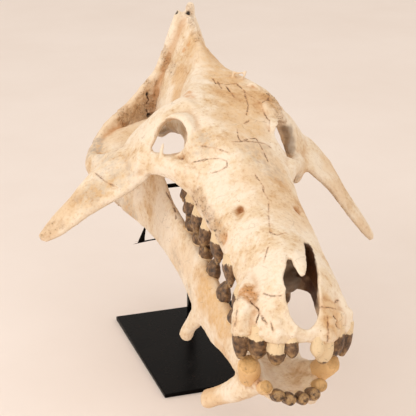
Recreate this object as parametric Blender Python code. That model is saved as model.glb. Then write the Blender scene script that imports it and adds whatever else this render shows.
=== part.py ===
"""Fossil entelodont skull, jaws a little open, on its black steel display stand.

Both bones are shaped in the skull's own frame and in shares of the skull's length, so that one
driving size scales them: "ahead" runs from the occiput (0) to the front teeth (1), "side" is
positive towards the skull's left and "up" is above the palate. place() turns these into metres,
with the snout along -Y. The finished bones are then set on the stand in the pose of the mount.
The frame's origin is the middle of the underside of the stand's plate.
"""

import math

import bmesh
import bpy
from mathutils import Matrix, Vector
from mathutils.bvhtree import BVHTree

# Driving sizes, in metres and degrees
SKULL_LENGTH = 0.612
GAP = 0.0003
PLATE_WIDTH = 0.203
PLATE_DEPTH = 0.254
PLATE_THICK = 0.006
PLATE_BEVEL = 0.0008
POST_SIDE = 0.0095
POST_RIGHT = 0.003
POST_BACK_EDGE = 0.040
POST_TOP = 0.305
BAR_SIDE = 0.005
BAR_HEIGHT = 0.2185
WIRE_RADIUS = 0.0014

# How the mount holds the skull
POSE_YAW = -2.0
POSE_NOSE_DOWN = 2.3
POSE_LEFT_DOWN = 6.7
POSE_SHIFT = Vector((0.0064, 0.1963, 0.2192 + PLATE_THICK))
GAPE = 6.3
JAW_HINGE = (0.125, 0.0, 0.040)

# Surface quality of the two bones
VOXEL = 0.0030
SMOOTH_PASSES = 6
CRANIUM_TRIANGLES = 5600
MANDIBLE_TRIANGLES = 2900

BONE_COLOUR = (0.76, 0.62, 0.46, 1.0)
STEEL_COLOUR = (0.012, 0.012, 0.013, 1.0)

RING_SIDES = 20
RING_STEPS = 4


def place(ahead, side, up):
    """A point of the skull, given in shares of its length, in metres."""
    return Vector((side, -ahead, up)) * SKULL_LENGTH


def spline(values, steps):
    """Catmull-Rom through a list of numbers or vectors, with steps spans between neighbours."""
    made = []
    last = len(values) - 1
    for i in range(last):
        a = values[max(i - 1, 0)]
        b = values[i]
        c = values[i + 1]
        d = values[min(i + 2, last)]
        for s in range(steps):
            t = s / steps
            made.append(
                ((2 * b) + (c - a) * t + (2 * a - 5 * b + 4 * c - d) * t**2
                 + (3 * b - a - 3 * c + d) * t**3) * 0.5
            )
    made.append(values[last])
    return made


def closed_spline(points, steps):
    """Catmull-Rom round a closed ring of vectors."""
    made = []
    count = len(points)
    for i in range(count):
        a, b, c, d = (points[(i + k - 1) % count] for k in range(4))
        for s in range(steps):
            t = s / steps
            made.append(
                ((2 * b) + (c - a) * t + (2 * a - 5 * b + 4 * c - d) * t**2
                 + (3 * b - a - 3 * c + d) * t**3) * 0.5
            )
    return made


def object_of(name, bm):
    """Closes a bmesh into an object of that name, with its faces pointing out."""
    bmesh.ops.remove_doubles(bm, verts=bm.verts, dist=1e-6)
    bmesh.ops.triangulate(bm, faces=bm.faces)
    bmesh.ops.recalc_face_normals(bm, faces=bm.faces)
    mesh = bpy.data.meshes.new(name)
    bm.to_mesh(mesh)
    bm.free()
    obj = bpy.data.objects.new(name, mesh)
    bpy.context.scene.collection.objects.link(obj)
    return obj


def skin_rings(name, rings):
    """One closed body through rings of points, all of one count, with a fan at each end."""
    bm = bmesh.new()
    rows = [[bm.verts.new(p) for p in ring] for ring in rings]
    count = len(rows[0])
    for a, b in zip(rows, rows[1:]):
        for i in range(count):
            bm.faces.new((a[i], a[(i + 1) % count], b[(i + 1) % count], b[i]))
    for row in (rows[0], rows[-1]):
        middle = bm.verts.new(sum((v.co for v in row), Vector()) / count)
        for i in range(count):
            bm.faces.new((row[i], row[(i + 1) % count], middle))
    return object_of(name, bm)


def tube(name, stations, sides=RING_SIDES, steps=RING_STEPS, square=1.0, blunt=0.6, upright=False):
    """A bone or wire with flattened round sections along a path.

    A station is (point, half width, half height, direction of the width), in shares of the
    skull's length. square below 1 makes the sections boxier. blunt rounds both ends. upright
    keeps every section's height vertical, however the path runs.
    """
    points = spline([place(*s[0]) for s in stations], steps)
    wides = spline([s[1] * SKULL_LENGTH for s in stations], steps)
    talls = spline([s[2] * SKULL_LENGTH for s in stations], steps)
    hints = spline([Vector((s[3][1], -s[3][0], s[3][2])).normalized() for s in stations], steps)
    last = len(points) - 1
    rings = []
    for i, point in enumerate(points):
        along = (points[min(i + 1, last)] - points[max(i - 1, 0)]).normalized()
        if upright:
            wide_way = hints[i].normalized()
            tall_way = Vector((0, 0, 1))
        else:
            wide_way = (hints[i] - along * hints[i].dot(along)).normalized()
            tall_way = along.cross(wide_way)
        stops = [(0.0, 1.0)]
        if i in (0, last):
            reach = blunt * min(wides[i], talls[i]) * (-1 if i == 0 else 1)
            stops = [(0.0, 1.0), (reach * 0.7, 0.72), (reach, 0.30)]
            if i == 0:
                stops.reverse()
        for shift, share in stops:
            ring = []
            for k in range(sides):
                turn = math.tau * k / sides
                c, s = math.cos(turn), math.sin(turn)
                x = math.copysign(abs(c) ** square, c) * wides[i] * share
                y = math.copysign(abs(s) ** square, s) * talls[i] * share
                ring.append(point + along * shift + wide_way * x + tall_way * y)
            rings.append(ring)
    return skin_rings(name, rings)


def mirrored(side, stations):
    """The same stations for the left (1) or the right (-1) side of the skull."""
    return [
        ((p[0], p[1] * side, p[2]), wide, tall, (w[0], w[1] * side, w[2]))
        for p, wide, tall, w in stations
    ]


def outline_body(name, sections, steps=RING_STEPS, spans=3):
    """A body through upright sections.

    A section is (ahead, right half, left half). A half runs from the ridge to the middle of the
    underside in (side, up) points, and a section without a left half is the same on both sides.
    """
    loops = []
    for section in sections:
        right = [Vector((-abs(side) if k else side, up, 0)) for k, (side, up) in enumerate(section[1])]
        left = [Vector((-p.x, p.y, 0)) for p in right[1:-1]]
        if len(section) > 2:
            left = [Vector((side, up, 0)) for side, up in section[2]]
        loops.append(right + left[::-1])
    aheads = spline([section[0] for section in sections], steps)
    columns = [spline([loop[k] for loop in loops], steps) for k in range(len(loops[0]))]
    rings = []
    for i, ahead in enumerate(aheads):
        loop = closed_spline([column[i] for column in columns], spans)
        rings.append([place(ahead, p.x, p.y) for p in loop])
    return skin_rings(name, rings)


def ball(name, centre, radii, turn=(0, 0, 0)):
    """An egg of the given half sizes along ahead, side and up."""
    bm = bmesh.new()
    bmesh.ops.create_icosphere(bm, subdivisions=3, radius=1.0)
    size = Matrix.Diagonal((*(Vector((radii[1], radii[0], radii[2])) * SKULL_LENGTH), 1))
    spin = Matrix.Rotation(math.radians(turn[2]), 4, "Z") @ Matrix.Rotation(math.radians(turn[0]), 4, "X")
    spin = spin @ Matrix.Rotation(math.radians(turn[1]), 4, "Y")
    bmesh.ops.transform(bm, matrix=Matrix.Translation(place(*centre)) @ spin @ size, verts=bm.verts)
    return object_of(name, bm)


def evaluated(obj):
    """The object with its modifiers applied."""
    graph = bpy.context.evaluated_depsgraph_get()
    mesh = bpy.data.meshes.new_from_object(obj.evaluated_get(graph))
    obj.modifiers.clear()
    old = obj.data
    obj.data = mesh
    bpy.data.meshes.remove(old)
    return obj


def combine(obj, others, operation):
    """One Boolean between an object and a collection of closed bodies, which are then removed."""
    group = bpy.data.collections.new(obj.name + "_" + operation.lower())
    bpy.context.scene.collection.children.link(group)
    for other in others:
        bpy.context.scene.collection.objects.unlink(other)
        group.objects.link(other)
    modifier = obj.modifiers.new(operation, "BOOLEAN")
    modifier.operation = operation
    modifier.operand_type = "COLLECTION"
    modifier.collection = group
    modifier.solver = "MANIFOLD"
    evaluated(obj)
    for other in others:
        bpy.data.objects.remove(other)
    bpy.data.collections.remove(group)
    return obj


def largest_body(obj):
    """Keeps only the largest closed surface of an object."""
    bm = bmesh.new()
    bm.from_mesh(obj.data)
    seen = set()
    bodies = []
    for start in bm.verts:
        if start in seen:
            continue
        body = []
        queue = [start]
        seen.add(start)
        while queue:
            vert = queue.pop()
            body.append(vert)
            for edge in vert.link_edges:
                other = edge.other_vert(vert)
                if other not in seen:
                    seen.add(other)
                    queue.append(other)
        bodies.append(body)
    bodies.sort(key=len)
    for body in bodies[:-1]:
        bmesh.ops.delete(bm, geom=body, context="VERTS")
    bm.to_mesh(obj.data)
    bm.free()
    return obj


def soften(obj, triangles):
    """Melts the joined pieces into one smooth bone of about so many triangles."""
    remesh = obj.modifiers.new("melt", "REMESH")
    remesh.mode = "VOXEL"
    remesh.voxel_size = VOXEL
    smooth = obj.modifiers.new("smooth", "SMOOTH")
    smooth.factor = 0.5
    smooth.iterations = SMOOTH_PASSES
    evaluated(obj)
    largest_body(obj)
    bm = bmesh.new()
    bm.from_mesh(obj.data)
    bmesh.ops.triangulate(bm, faces=bm.faces)
    bm.to_mesh(obj.data)
    bm.free()
    thin = obj.modifiers.new("thin", "DECIMATE")
    thin.ratio = min(1.0, triangles / len(obj.data.polygons))
    return evaluated(obj)


# Upright sections of the skull from the front: half outlines with ridge, brow, shoulder, cheek,
# tooth-row edge and palate, each (side, up). Where time has bent the fossil, the left half has
# its own brow, shoulder, cheek and tooth-row edge.
BODY_SECTIONS = [
    (0.965, [(0, 0.012), (0.030, 0.010), (0.050, 0.002), (0.058, -0.008), (0.046, -0.020), (0, -0.016)]),
    (0.935, [(0, 0.050), (0.030, 0.046), (0.070, 0.024), (0.084, -0.002), (0.076, -0.022), (0, -0.014)]),
    (0.900, [(0, 0.092), (0.026, 0.086), (0.070, 0.050), (0.094, 0.012), (0.090, -0.020), (0, -0.010)]),
    (0.860, [(0, 0.110), (0.028, 0.104), (0.064, 0.070), (0.086, 0.026), (0.080, -0.014), (0, -0.004)],
     [(0.034, 0.101), (0.086, 0.066), (0.108, 0.026), (0.088, -0.014)]),
    (0.780, [(0, 0.122), (0.032, 0.115), (0.064, 0.084), (0.080, 0.046), (0.070, 0.012), (0, 0.018)],
     [(0.040, 0.112), (0.088, 0.084), (0.108, 0.048), (0.078, 0.012)]),
    (0.690, [(0, 0.138), (0.034, 0.132), (0.070, 0.104), (0.086, 0.072), (0.074, 0.038), (0, 0.040)],
     [(0.042, 0.131), (0.092, 0.107), (0.108, 0.076), (0.078, 0.038)]),
    (0.600, [(-0.008, 0.172), (0.044, 0.156), (0.084, 0.126), (0.094, 0.092), (0.078, 0.052), (0, 0.054)],
     [(0.042, 0.161), (0.096, 0.132), (0.104, 0.094), (0.080, 0.052)]),
    (0.520, [(-0.034, 0.213), (0.072, 0.186), (0.100, 0.156), (0.108, 0.118), (0.080, 0.060), (0, 0.062)],
     [(0.048, 0.192), (0.105, 0.154), (0.112, 0.116), (0.082, 0.060)]),
    (0.455, [(-0.044, 0.233), (0.084, 0.220), (0.118, 0.196), (0.098, 0.130), (0.074, 0.066), (0, 0.070)],
     [(0.058, 0.216), (0.116, 0.184), (0.104, 0.130), (0.074, 0.066)]),
    (0.390, [(-0.055, 0.249), (0.092, 0.240), (0.132, 0.222), (0.070, 0.160), (0.058, 0.074), (0, 0.076)],
     [(0.060, 0.242), (0.136, 0.226), (0.076, 0.160), (0.058, 0.074)]),
    (0.330, [(-0.060, 0.262), (0.090, 0.250), (0.112, 0.226), (0.056, 0.168), (0.046, 0.088), (0, 0.080)],
     [(0.060, 0.260), (0.132, 0.250), (0.070, 0.168), (0.046, 0.088)]),
    (0.270, [(-0.046, 0.270), (0.066, 0.246), (0.066, 0.205), (0.056, 0.166), (0.044, 0.116), (0, 0.100)],
     [(0.040, 0.272), (0.112, 0.262), (0.072, 0.170), (0.044, 0.116)]),
    (0.210, [(-0.026, 0.276), (0.046, 0.246), (0.058, 0.200), (0.064, 0.160), (0.046, 0.126), (0, 0.118)],
     [(0.030, 0.282), (0.078, 0.268), (0.074, 0.170), (0.048, 0.126)]),
    (0.160, [(-0.010, 0.300), (0.032, 0.258), (0.054, 0.204), (0.072, 0.156), (0.052, 0.116), (0, 0.110)],
     [(0.024, 0.292), (0.064, 0.262), (0.078, 0.160), (0.052, 0.116)]),
    (0.110, [(-0.004, 0.324), (0.027, 0.274), (0.056, 0.208), (0.074, 0.150), (0.056, 0.104), (0, 0.098)],
     [(0.016, 0.310), (0.052, 0.270), (0.078, 0.150), (0.056, 0.104)]),
    (0.060, [(0, 0.346), (0.026, 0.290), (0.054, 0.212), (0.070, 0.142), (0.056, 0.096), (0, 0.088)],
     [(0.014, 0.326), (0.044, 0.268), (0.072, 0.142), (0.056, 0.096)]),
    (0.018, [(0, 0.360), (0.022, 0.310), (0.046, 0.225), (0.058, 0.142), (0.046, 0.096), (0, 0.086)],
     [(0.014, 0.336), (0.036, 0.262), (0.058, 0.142), (0.046, 0.096)]),
]

FORWARD = (1, 0, 0)
LEFTWARD = (0, 1, 0)
UPWARD = (0, 0, 1)


def crest_and_occiput():
    """The knob on top of the occiput and the fan of bone between it and the cheek arches."""
    pieces = [
        tube("inion", [
            ((0.006, 0.006, 0.340), 0.015, 0.013, LEFTWARD),
            ((0.002, 0.007, 0.360), 0.0120, 0.010, LEFTWARD),
            ((0.002, 0.005, 0.373), 0.0120, 0.011, LEFTWARD),
            ((0.002, 0.004, 0.382), 0.0110, 0.010, LEFTWARD),
        ]),
    ]
    # (ahead, side, top, bottom, half thickness) of upright slices, from the middle outwards
    right = [
        (0.006, 0.000, 0.362, 0.098, 0.015),
        (0.006, 0.018, 0.366, 0.097, 0.014),
        (0.008, 0.031, 0.372, 0.095, 0.014),
        (0.010, 0.043, 0.324, 0.094, 0.014),
        (0.018, 0.058, 0.270, 0.090, 0.014),
        (0.027, 0.074, 0.224, 0.085, 0.014),
        (0.040, 0.100, 0.196, 0.078, 0.014),
        (0.058, 0.128, 0.166, 0.070, 0.015),
        (0.078, 0.165, 0.137, 0.056, 0.016),
        (0.100, 0.200, 0.110, 0.040, 0.017),
        (0.128, 0.226, 0.082, 0.028, 0.018),
    ]
    left = [
        (0.006, 0.000, 0.362, 0.098, 0.015),
        (0.007, 0.019, 0.356, 0.096, 0.014),
        (0.010, 0.034, 0.326, 0.094, 0.014),
    ] + right[4:]
    for side, slices in ((-1, right), (1, left)):
        stations = [
            ((ahead, out, (top + bottom) / 2), thick, (top - bottom) / 2, FORWARD)
            for ahead, out, top, bottom, thick in slices
        ]
        pieces.append(tube("fan", mirrored(side, stations), square=0.75, upright=True))
    return pieces


def cheek_arches():
    """The arch from the ear region forward under the eye, the bar behind the eye and the flange."""
    pieces = []
    for side in (-1, 1):
        high = 0.014 if side > 0 else 0.0
        pieces.append(tube("arch", mirrored(side, [
            ((0.135, 0.222, 0.055), 0.018, 0.028, LEFTWARD),
            ((0.180, 0.237, 0.042), 0.017, 0.029, LEFTWARD),
            ((0.235, 0.232, 0.054), 0.016, 0.030, LEFTWARD),
            ((0.295, 0.210, 0.080), 0.016, 0.034, LEFTWARD),
            ((0.355, 0.188, 0.106), 0.016, 0.036, LEFTWARD),
            ((0.410, 0.166, 0.130), 0.015, 0.026, LEFTWARD),
            ((0.465, 0.132, 0.136 + high), 0.018, 0.026 - high * 0.3, LEFTWARD),
            ((0.515, 0.090, 0.120 + high), 0.022, 0.036 - high * 0.5, LEFTWARD),
        ])))
        # the left bar is bent outwards and its rim is worn
        flare = 0.6 if side > 0 else 0.0
        thick = 0.018 if side > 0 else 0.012
        pieces.append(tube("eye_bar", mirrored(side, [
            ((0.350, 0.084, 0.248), 0.034, 0.012, FORWARD),
            ((0.354, 0.130, 0.220), 0.040, thick, (1, -0.6 * flare, 0)),
            ((0.350, 0.160, 0.182), 0.052, thick, (1, -flare, 0)),
            ((0.342, 0.182 + 0.008 * flare, 0.140), 0.064, thick, (1, -flare, 0)),
            ((0.330, 0.198, 0.096), 0.066, 0.014, (1, -0.6 * flare, 0)),
        ])))
        worn = 0.010 if side > 0 else 0.0
        pieces.append(tube("eye_rim", mirrored(side, [
            ((0.382, 0.084 - worn, 0.186), 0.048 - worn * 0.4, 0.044 - worn * 0.3, UPWARD),
            ((0.412, 0.110 - worn, 0.192), 0.050 - worn * 0.6, 0.046 - worn * 0.3, UPWARD),
            ((0.430, 0.128 - worn * 1.5, 0.197), 0.049 - worn, 0.045 - worn * 0.5, UPWARD),
        ]), blunt=0.22))
    pieces.append(tube("flange_right", mirrored(-1, [
        ((0.350, 0.186, 0.108), 0.062, 0.017, (1, 0, -0.42)),
        ((0.358, 0.226, 0.078), 0.060, 0.016, (1, 0, -0.46)),
        ((0.366, 0.270, 0.044), 0.050, 0.014, (1, 0, -0.50)),
        ((0.376, 0.316, 0.003), 0.036, 0.012, (1, 0, -0.50)),
        ((0.384, 0.356, -0.032), 0.028, 0.011, (1, 0, -0.50)),
        ((0.387, 0.382, -0.055), 0.015, 0.009, (1, 0, -0.50)),
    ]), square=0.85))
    pieces.append(tube("flange_left", [
        ((0.340, 0.186, 0.142), 0.060, 0.016, (1, 0, -0.50)),
        ((0.340, 0.216, 0.132), 0.060, 0.015, (1, 0, -0.52)),
        ((0.346, 0.238, 0.114), 0.056, 0.014, (1, 0, -0.55)),
        ((0.362, 0.270, 0.083), 0.044, 0.013, (1, 0, -0.60)),
        ((0.376, 0.312, 0.032), 0.034, 0.012, (1, 0, -0.60)),
        ((0.385, 0.356, -0.018), 0.027, 0.011, (1, 0, -0.60)),
        ((0.389, 0.384, -0.049), 0.014, 0.009, (1, 0, -0.60)),
    ], square=0.85))
    return pieces


def snout_details():
    """Canine swellings and the bone that holds the front teeth."""
    pieces = [
        tube("nose_sill", [
            ((0.940, -0.050, -0.002), 0.012, 0.011, UPWARD),
            ((0.953, -0.022, -0.004), 0.009, 0.009, UPWARD),
            ((0.957, 0.000, -0.005), 0.0085, 0.0085, UPWARD),
            ((0.953, 0.022, -0.004), 0.009, 0.009, UPWARD),
            ((0.940, 0.050, -0.002), 0.012, 0.011, UPWARD),
        ]),
    ]
    for side in (-1, 1):
        slim = 0.006 if side > 0 else 0.0
        pieces.append(tube("canine_swelling", mirrored(side, [
            ((0.830, 0.074 - slim, 0.048), 0.014, 0.014, LEFTWARD),
            ((0.868, 0.086 - slim, 0.036), 0.022, 0.020, LEFTWARD),
            ((0.898, 0.098 - slim, 0.008), 0.021, 0.020, LEFTWARD),
            ((0.908, 0.101 - slim * 0.5, -0.018), 0.018, 0.018, LEFTWARD),
        ])))
        for ahead, out, up, radius in ((0.924, 0.074, -0.006, 0.019), (0.946, 0.046, -0.008, 0.017),
                                       (0.958, 0.026, -0.006, 0.011)):
            pieces.append(tube("incisor_socket", mirrored(side, [
                ((ahead - 0.024, out, up + 0.026), radius * 0.7, radius * 0.7, LEFTWARD),
                ((ahead, out, up - 0.004), radius, radius, LEFTWARD),
            ])))
    return pieces


def nasal_tip():
    """The point of the nasal bones, free above the nose opening."""
    return tube("nasal_tip", [
        ((0.800, 0.020, 0.104), 0.022, 0.007, (0, 1, -0.16)),
        ((0.842, 0.014, 0.104), 0.0165, 0.0065, (0, 1, -0.10)),
        ((0.868, 0.008, 0.102), 0.0130, 0.006, (0, 1, -0.06)),
        ((0.884, 0.004, 0.098), 0.0120, 0.0055, LEFTWARD),
        ((0.898, 0.001, 0.092), 0.0100, 0.005, LEFTWARD),
    ], blunt=0.3)


def skull_base():
    """Condyles, ear bones, jaw sockets and the wings behind the palate, all on the underside."""
    pieces = []
    for side in (-1, 1):
        pieces.append(ball("condyle", (-0.004, 0.040 * side, 0.098), (0.022, 0.030, 0.025)))
        pieces.append(ball("ear_bulla", (0.104, 0.064 * side, 0.104), (0.030, 0.018, 0.020)))
        pieces.append(tube("neck_process", mirrored(side, [
            ((0.046, 0.096, 0.092), 0.018, 0.013, LEFTWARD),
            ((0.048, 0.108, 0.050), 0.012, 0.010, LEFTWARD),
            ((0.050, 0.112, 0.022), 0.006, 0.006, LEFTWARD),
        ])))
        pieces.append(tube("jaw_socket", mirrored(side, [
            ((0.120, 0.050, 0.128), 0.032, 0.020, FORWARD),
            ((0.128, 0.120, 0.106), 0.040, 0.017, FORWARD),
            ((0.145, 0.185, 0.078), 0.052, 0.017, FORWARD),
            ((0.160, 0.221, 0.056), 0.050, 0.015, FORWARD),
        ])))
        pieces.append(tube("palate_wing", mirrored(side, [
            ((0.360, 0.046, 0.076), 0.030, 0.008, UPWARD),
            ((0.300, 0.040, 0.086), 0.030, 0.007, UPWARD),
            ((0.230, 0.036, 0.112), 0.020, 0.007, UPWARD),
        ])))
    return pieces


def cranium_openings():
    """The eye sockets, the nose cavity and the gaps that show daylight through the skull."""
    cuts = [
        # nose cavity, out through the front between the premaxillae
        tube("nose_cavity", [
            ((0.690, 0.008, 0.080), 0.022, 0.026, LEFTWARD),
            ((0.770, 0.018, 0.072), 0.043, 0.036, LEFTWARD),
            ((0.840, 0.012, 0.066), 0.046, 0.037, LEFTWARD),
            ((0.890, 0.004, 0.054), 0.036, 0.040, LEFTWARD),
            ((0.930, 0.000, 0.056), 0.031, 0.047, LEFTWARD),
            ((0.960, 0.000, 0.062), 0.026, 0.052, LEFTWARD),
            ((1.020, 0.000, 0.070), 0.026, 0.060, LEFTWARD),
        ]),
        # nose opening in the roof, with a slit on either side of the nasal tip
        tube("nose_roof", [
            ((0.896, 0.001, 0.110), 0.028, 0.050, LEFTWARD),
            ((0.912, -0.001, 0.100), 0.032, 0.050, LEFTWARD),
            ((0.940, -0.002, 0.086), 0.029, 0.060, LEFTWARD),
            ((0.960, -0.002, 0.080), 0.024, 0.060, LEFTWARD),
        ], blunt=0.2),
        tube("left_slit", [
            ((0.770, 0.057, 0.108), 0.0060, 0.046, LEFTWARD),
            ((0.806, 0.049, 0.106), 0.0070, 0.046, LEFTWARD),
            ((0.842, 0.039, 0.106), 0.009, 0.040, LEFTWARD),
            ((0.873, 0.032, 0.098), 0.012, 0.040, LEFTWARD),
            ((0.900, 0.024, 0.088), 0.015, 0.040, LEFTWARD),
        ]),
        tube("right_slit", [
            ((0.842, -0.006, 0.114), 0.005, 0.030, LEFTWARD),
            ((0.866, -0.012, 0.108), 0.0055, 0.030, LEFTWARD),
            ((0.886, -0.018, 0.100), 0.008, 0.034, LEFTWARD),
            ((0.904, -0.021, 0.086), 0.013, 0.040, LEFTWARD),
        ]),
        # gap in the front of the palate
        tube("palate_gap", [
            ((0.796, 0.056, 0.012), 0.012, 0.036, LEFTWARD),
            ((0.816, 0.046, 0.010), 0.022, 0.038, LEFTWARD),
            ((0.836, 0.033, 0.010), 0.035, 0.040, LEFTWARD),
            ((0.862, 0.020, 0.008), 0.044, 0.042, LEFTWARD),
            ((0.895, 0.009, 0.008), 0.044, 0.042, LEFTWARD),
            ((0.926, 0.001, 0.014), 0.035, 0.048, LEFTWARD),
            ((0.946, -0.002, 0.016), 0.024, 0.050, LEFTWARD),
        ], square=0.7, blunt=0.12),
    ]
    for side in (-1, 1):
        wider = 0.012 if side > 0 else 0.0
        cuts.append(tube("eye_socket", mirrored(side, [
            ((0.330, 0.084 - wider * 0.3, 0.170), 0.028, 0.028, UPWARD),
            ((0.385, 0.112 - wider, 0.182), 0.036, 0.036 + wider * 0.4, UPWARD),
            ((0.430, 0.140 - wider, 0.196), 0.040 + wider * 0.2, 0.039 + wider * 0.4, UPWARD),
            ((0.500, 0.200 - wider, 0.214), 0.042 + wider * 0.2, 0.042 + wider * 0.4, UPWARD),
        ])))
        out = 0.030 if side > 0 else 0.0
        cuts.append(tube("cheek_hole", mirrored(side, [
            ((0.648, 0.040 + out, 0.118), 0.008, 0.008, UPWARD),
            ((0.664, 0.052 + out, 0.126), 0.012, 0.011, UPWARD),
            ((0.700, 0.064 + out, 0.121), 0.009, 0.008, UPWARD),
            ((0.745, 0.074 + out, 0.109), 0.005, 0.004, UPWARD),
        ])))
    return cuts


def tooth(name, root, tip, length_wise, across, side, sides=8, point=0.35):
    """A tooth from root to tip: a tapering crown on a sunk root, in shares of skull length."""
    root_point = Vector(root)
    tip_point = Vector(tip)
    rows = [
        (-0.7, 0.80), (0.0, 0.96), (0.30, 1.0), (0.62, 0.84), (0.86, point + 0.22), (1.0, point),
    ]
    stations = []
    for along, share in rows:
        p = root_point.lerp(tip_point, along)
        stations.append(((p.x, p.y, p.z), length_wise * share, across * share, FORWARD))
    return tube(name, mirrored(side, stations), sides=sides, steps=1, blunt=0.5)


def tooth_row(row, lost):
    """Both sides of one row of teeth, without the lost ones."""
    teeth = []
    for side in (-1, 1):
        for name, (root, tip, long, wide, point) in row.items():
            if (name, side) not in lost:
                teeth.append(tooth(name, root, tip, long, wide, side, point=point))
    return teeth


# Teeth that the fossil has lost, as (name, side)
LOST_UPPER = {("premolar_1", 1)}
LOST_LOWER = {("premolar_1", 1), ("premolar_2", 1)}

# Upper teeth of one side, from the front: root (ahead, side, up), tip, half length, half width,
# and how blunt the tip is.
UPPER_TEETH = {
    "incisor_1": ((0.960, 0.026, -0.012), (0.972, 0.024, -0.038), 0.010, 0.012, 0.40),
    "incisor_2": ((0.946, 0.047, -0.014), (0.953, 0.046, -0.062), 0.016, 0.017, 0.45),
    "incisor_3": ((0.924, 0.076, -0.012), (0.930, 0.075, -0.060), 0.017, 0.018, 0.45),
    "canine": ((0.904, 0.103, -0.018), (0.914, 0.101, -0.068), 0.018, 0.016, 0.36),
    "premolar_1": ((0.798, 0.076, 0.010), (0.788, 0.080, -0.044), 0.015, 0.010, 0.22),
    "premolar_2": ((0.722, 0.075, 0.040), (0.740, 0.075, -0.006), 0.025, 0.014, 0.20),
    "premolar_3": ((0.640, 0.076, 0.052), (0.654, 0.076, 0.004), 0.025, 0.015, 0.22),
    "premolar_4": ((0.576, 0.077, 0.056), (0.578, 0.078, 0.016), 0.018, 0.018, 0.40),
    "molar_1": ((0.518, 0.077, 0.062), (0.518, 0.078, 0.024), 0.022, 0.020, 0.62),
    "molar_2": ((0.460, 0.075, 0.068), (0.460, 0.077, 0.032), 0.023, 0.022, 0.62),
    "molar_3": ((0.408, 0.070, 0.076), (0.406, 0.074, 0.044), 0.019, 0.019, 0.62),
}


def build_cranium():
    """The skull without its jaw, with the upper teeth rooted in it."""
    cranium = outline_body("cranium", BODY_SECTIONS)
    pieces = crest_and_occiput() + cheek_arches() + snout_details() + skull_base()
    combine(cranium, pieces, "UNION")
    combine(cranium, cranium_openings(), "DIFFERENCE")
    combine(cranium, [nasal_tip()], "UNION")
    soften(cranium, CRANIUM_TRIANGLES)
    combine(cranium, tooth_row(UPPER_TEETH, LOST_UPPER), "UNION")
    # clear of the jaw's condyles and of the post, which both end inside hollows of the bone
    condyles = [jaw_condyle(side, GAP / SKULL_LENGTH) for side in (-1, 1)]
    for condyle in condyles:
        condyle.data.transform(jaw_swing())
    combine(cranium, condyles, "DIFFERENCE")
    cranium.data.transform(bone_pose())
    combine(cranium, [post_body("post_hole", GAP)], "DIFFERENCE")
    return largest_body(cranium)


# The lower jaw is shaped closed, then swung open about its hinge.
LOWER_TEETH = {
    "incisor_1": ((0.962, 0.013, -0.044), (0.990, 0.013, -0.030), 0.011, 0.010, 0.50),
    "incisor_2": ((0.958, 0.034, -0.040), (0.984, 0.036, -0.024), 0.011, 0.011, 0.50),
    "incisor_3": ((0.944, 0.053, -0.034), (0.962, 0.056, -0.018), 0.012, 0.012, 0.55),
    "canine": ((0.904, 0.070, -0.028), (0.926, 0.086, 0.012), 0.021, 0.020, 0.72),
    "premolar_1": ((0.836, 0.064, -0.012), (0.840, 0.064, 0.014), 0.013, 0.009, 0.22),
    "premolar_2": ((0.762, 0.064, -0.004), (0.766, 0.064, 0.030), 0.020, 0.011, 0.20),
    "premolar_3": ((0.684, 0.064, 0.002), (0.690, 0.064, 0.044), 0.023, 0.013, 0.20),
    "premolar_4": ((0.606, 0.064, 0.010), (0.608, 0.064, 0.050), 0.021, 0.013, 0.30),
    "molar_1": ((0.548, 0.065, 0.020), (0.549, 0.065, 0.046), 0.019, 0.014, 0.60),
    "molar_2": ((0.498, 0.066, 0.024), (0.499, 0.066, 0.048), 0.020, 0.015, 0.60),
    "molar_3": ((0.444, 0.068, 0.028), (0.445, 0.068, 0.052), 0.022, 0.015, 0.60),
}


def jaw_swing():
    """The turn about the hinge that opens the lower jaw."""
    hinge = Matrix.Translation(place(*JAW_HINGE))
    return hinge @ Matrix.Rotation(math.radians(GAPE), 4, "X") @ hinge.inverted()


def jaw_condyle(side, extra=0.0):
    """The roller that the lower jaw turns on, or the hollow for it when extra is the gap."""
    return tube("condyle", mirrored(side, [
        ((0.128, 0.122 - extra, 0.044), 0.012 + extra, 0.009 + extra, FORWARD),
        ((0.128, 0.155, 0.050), 0.015 + extra, 0.013 + extra, FORWARD),
        ((0.128, 0.190 + extra, 0.040), 0.012 + extra, 0.009 + extra, FORWARD),
    ]), blunt=0.8)


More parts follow.
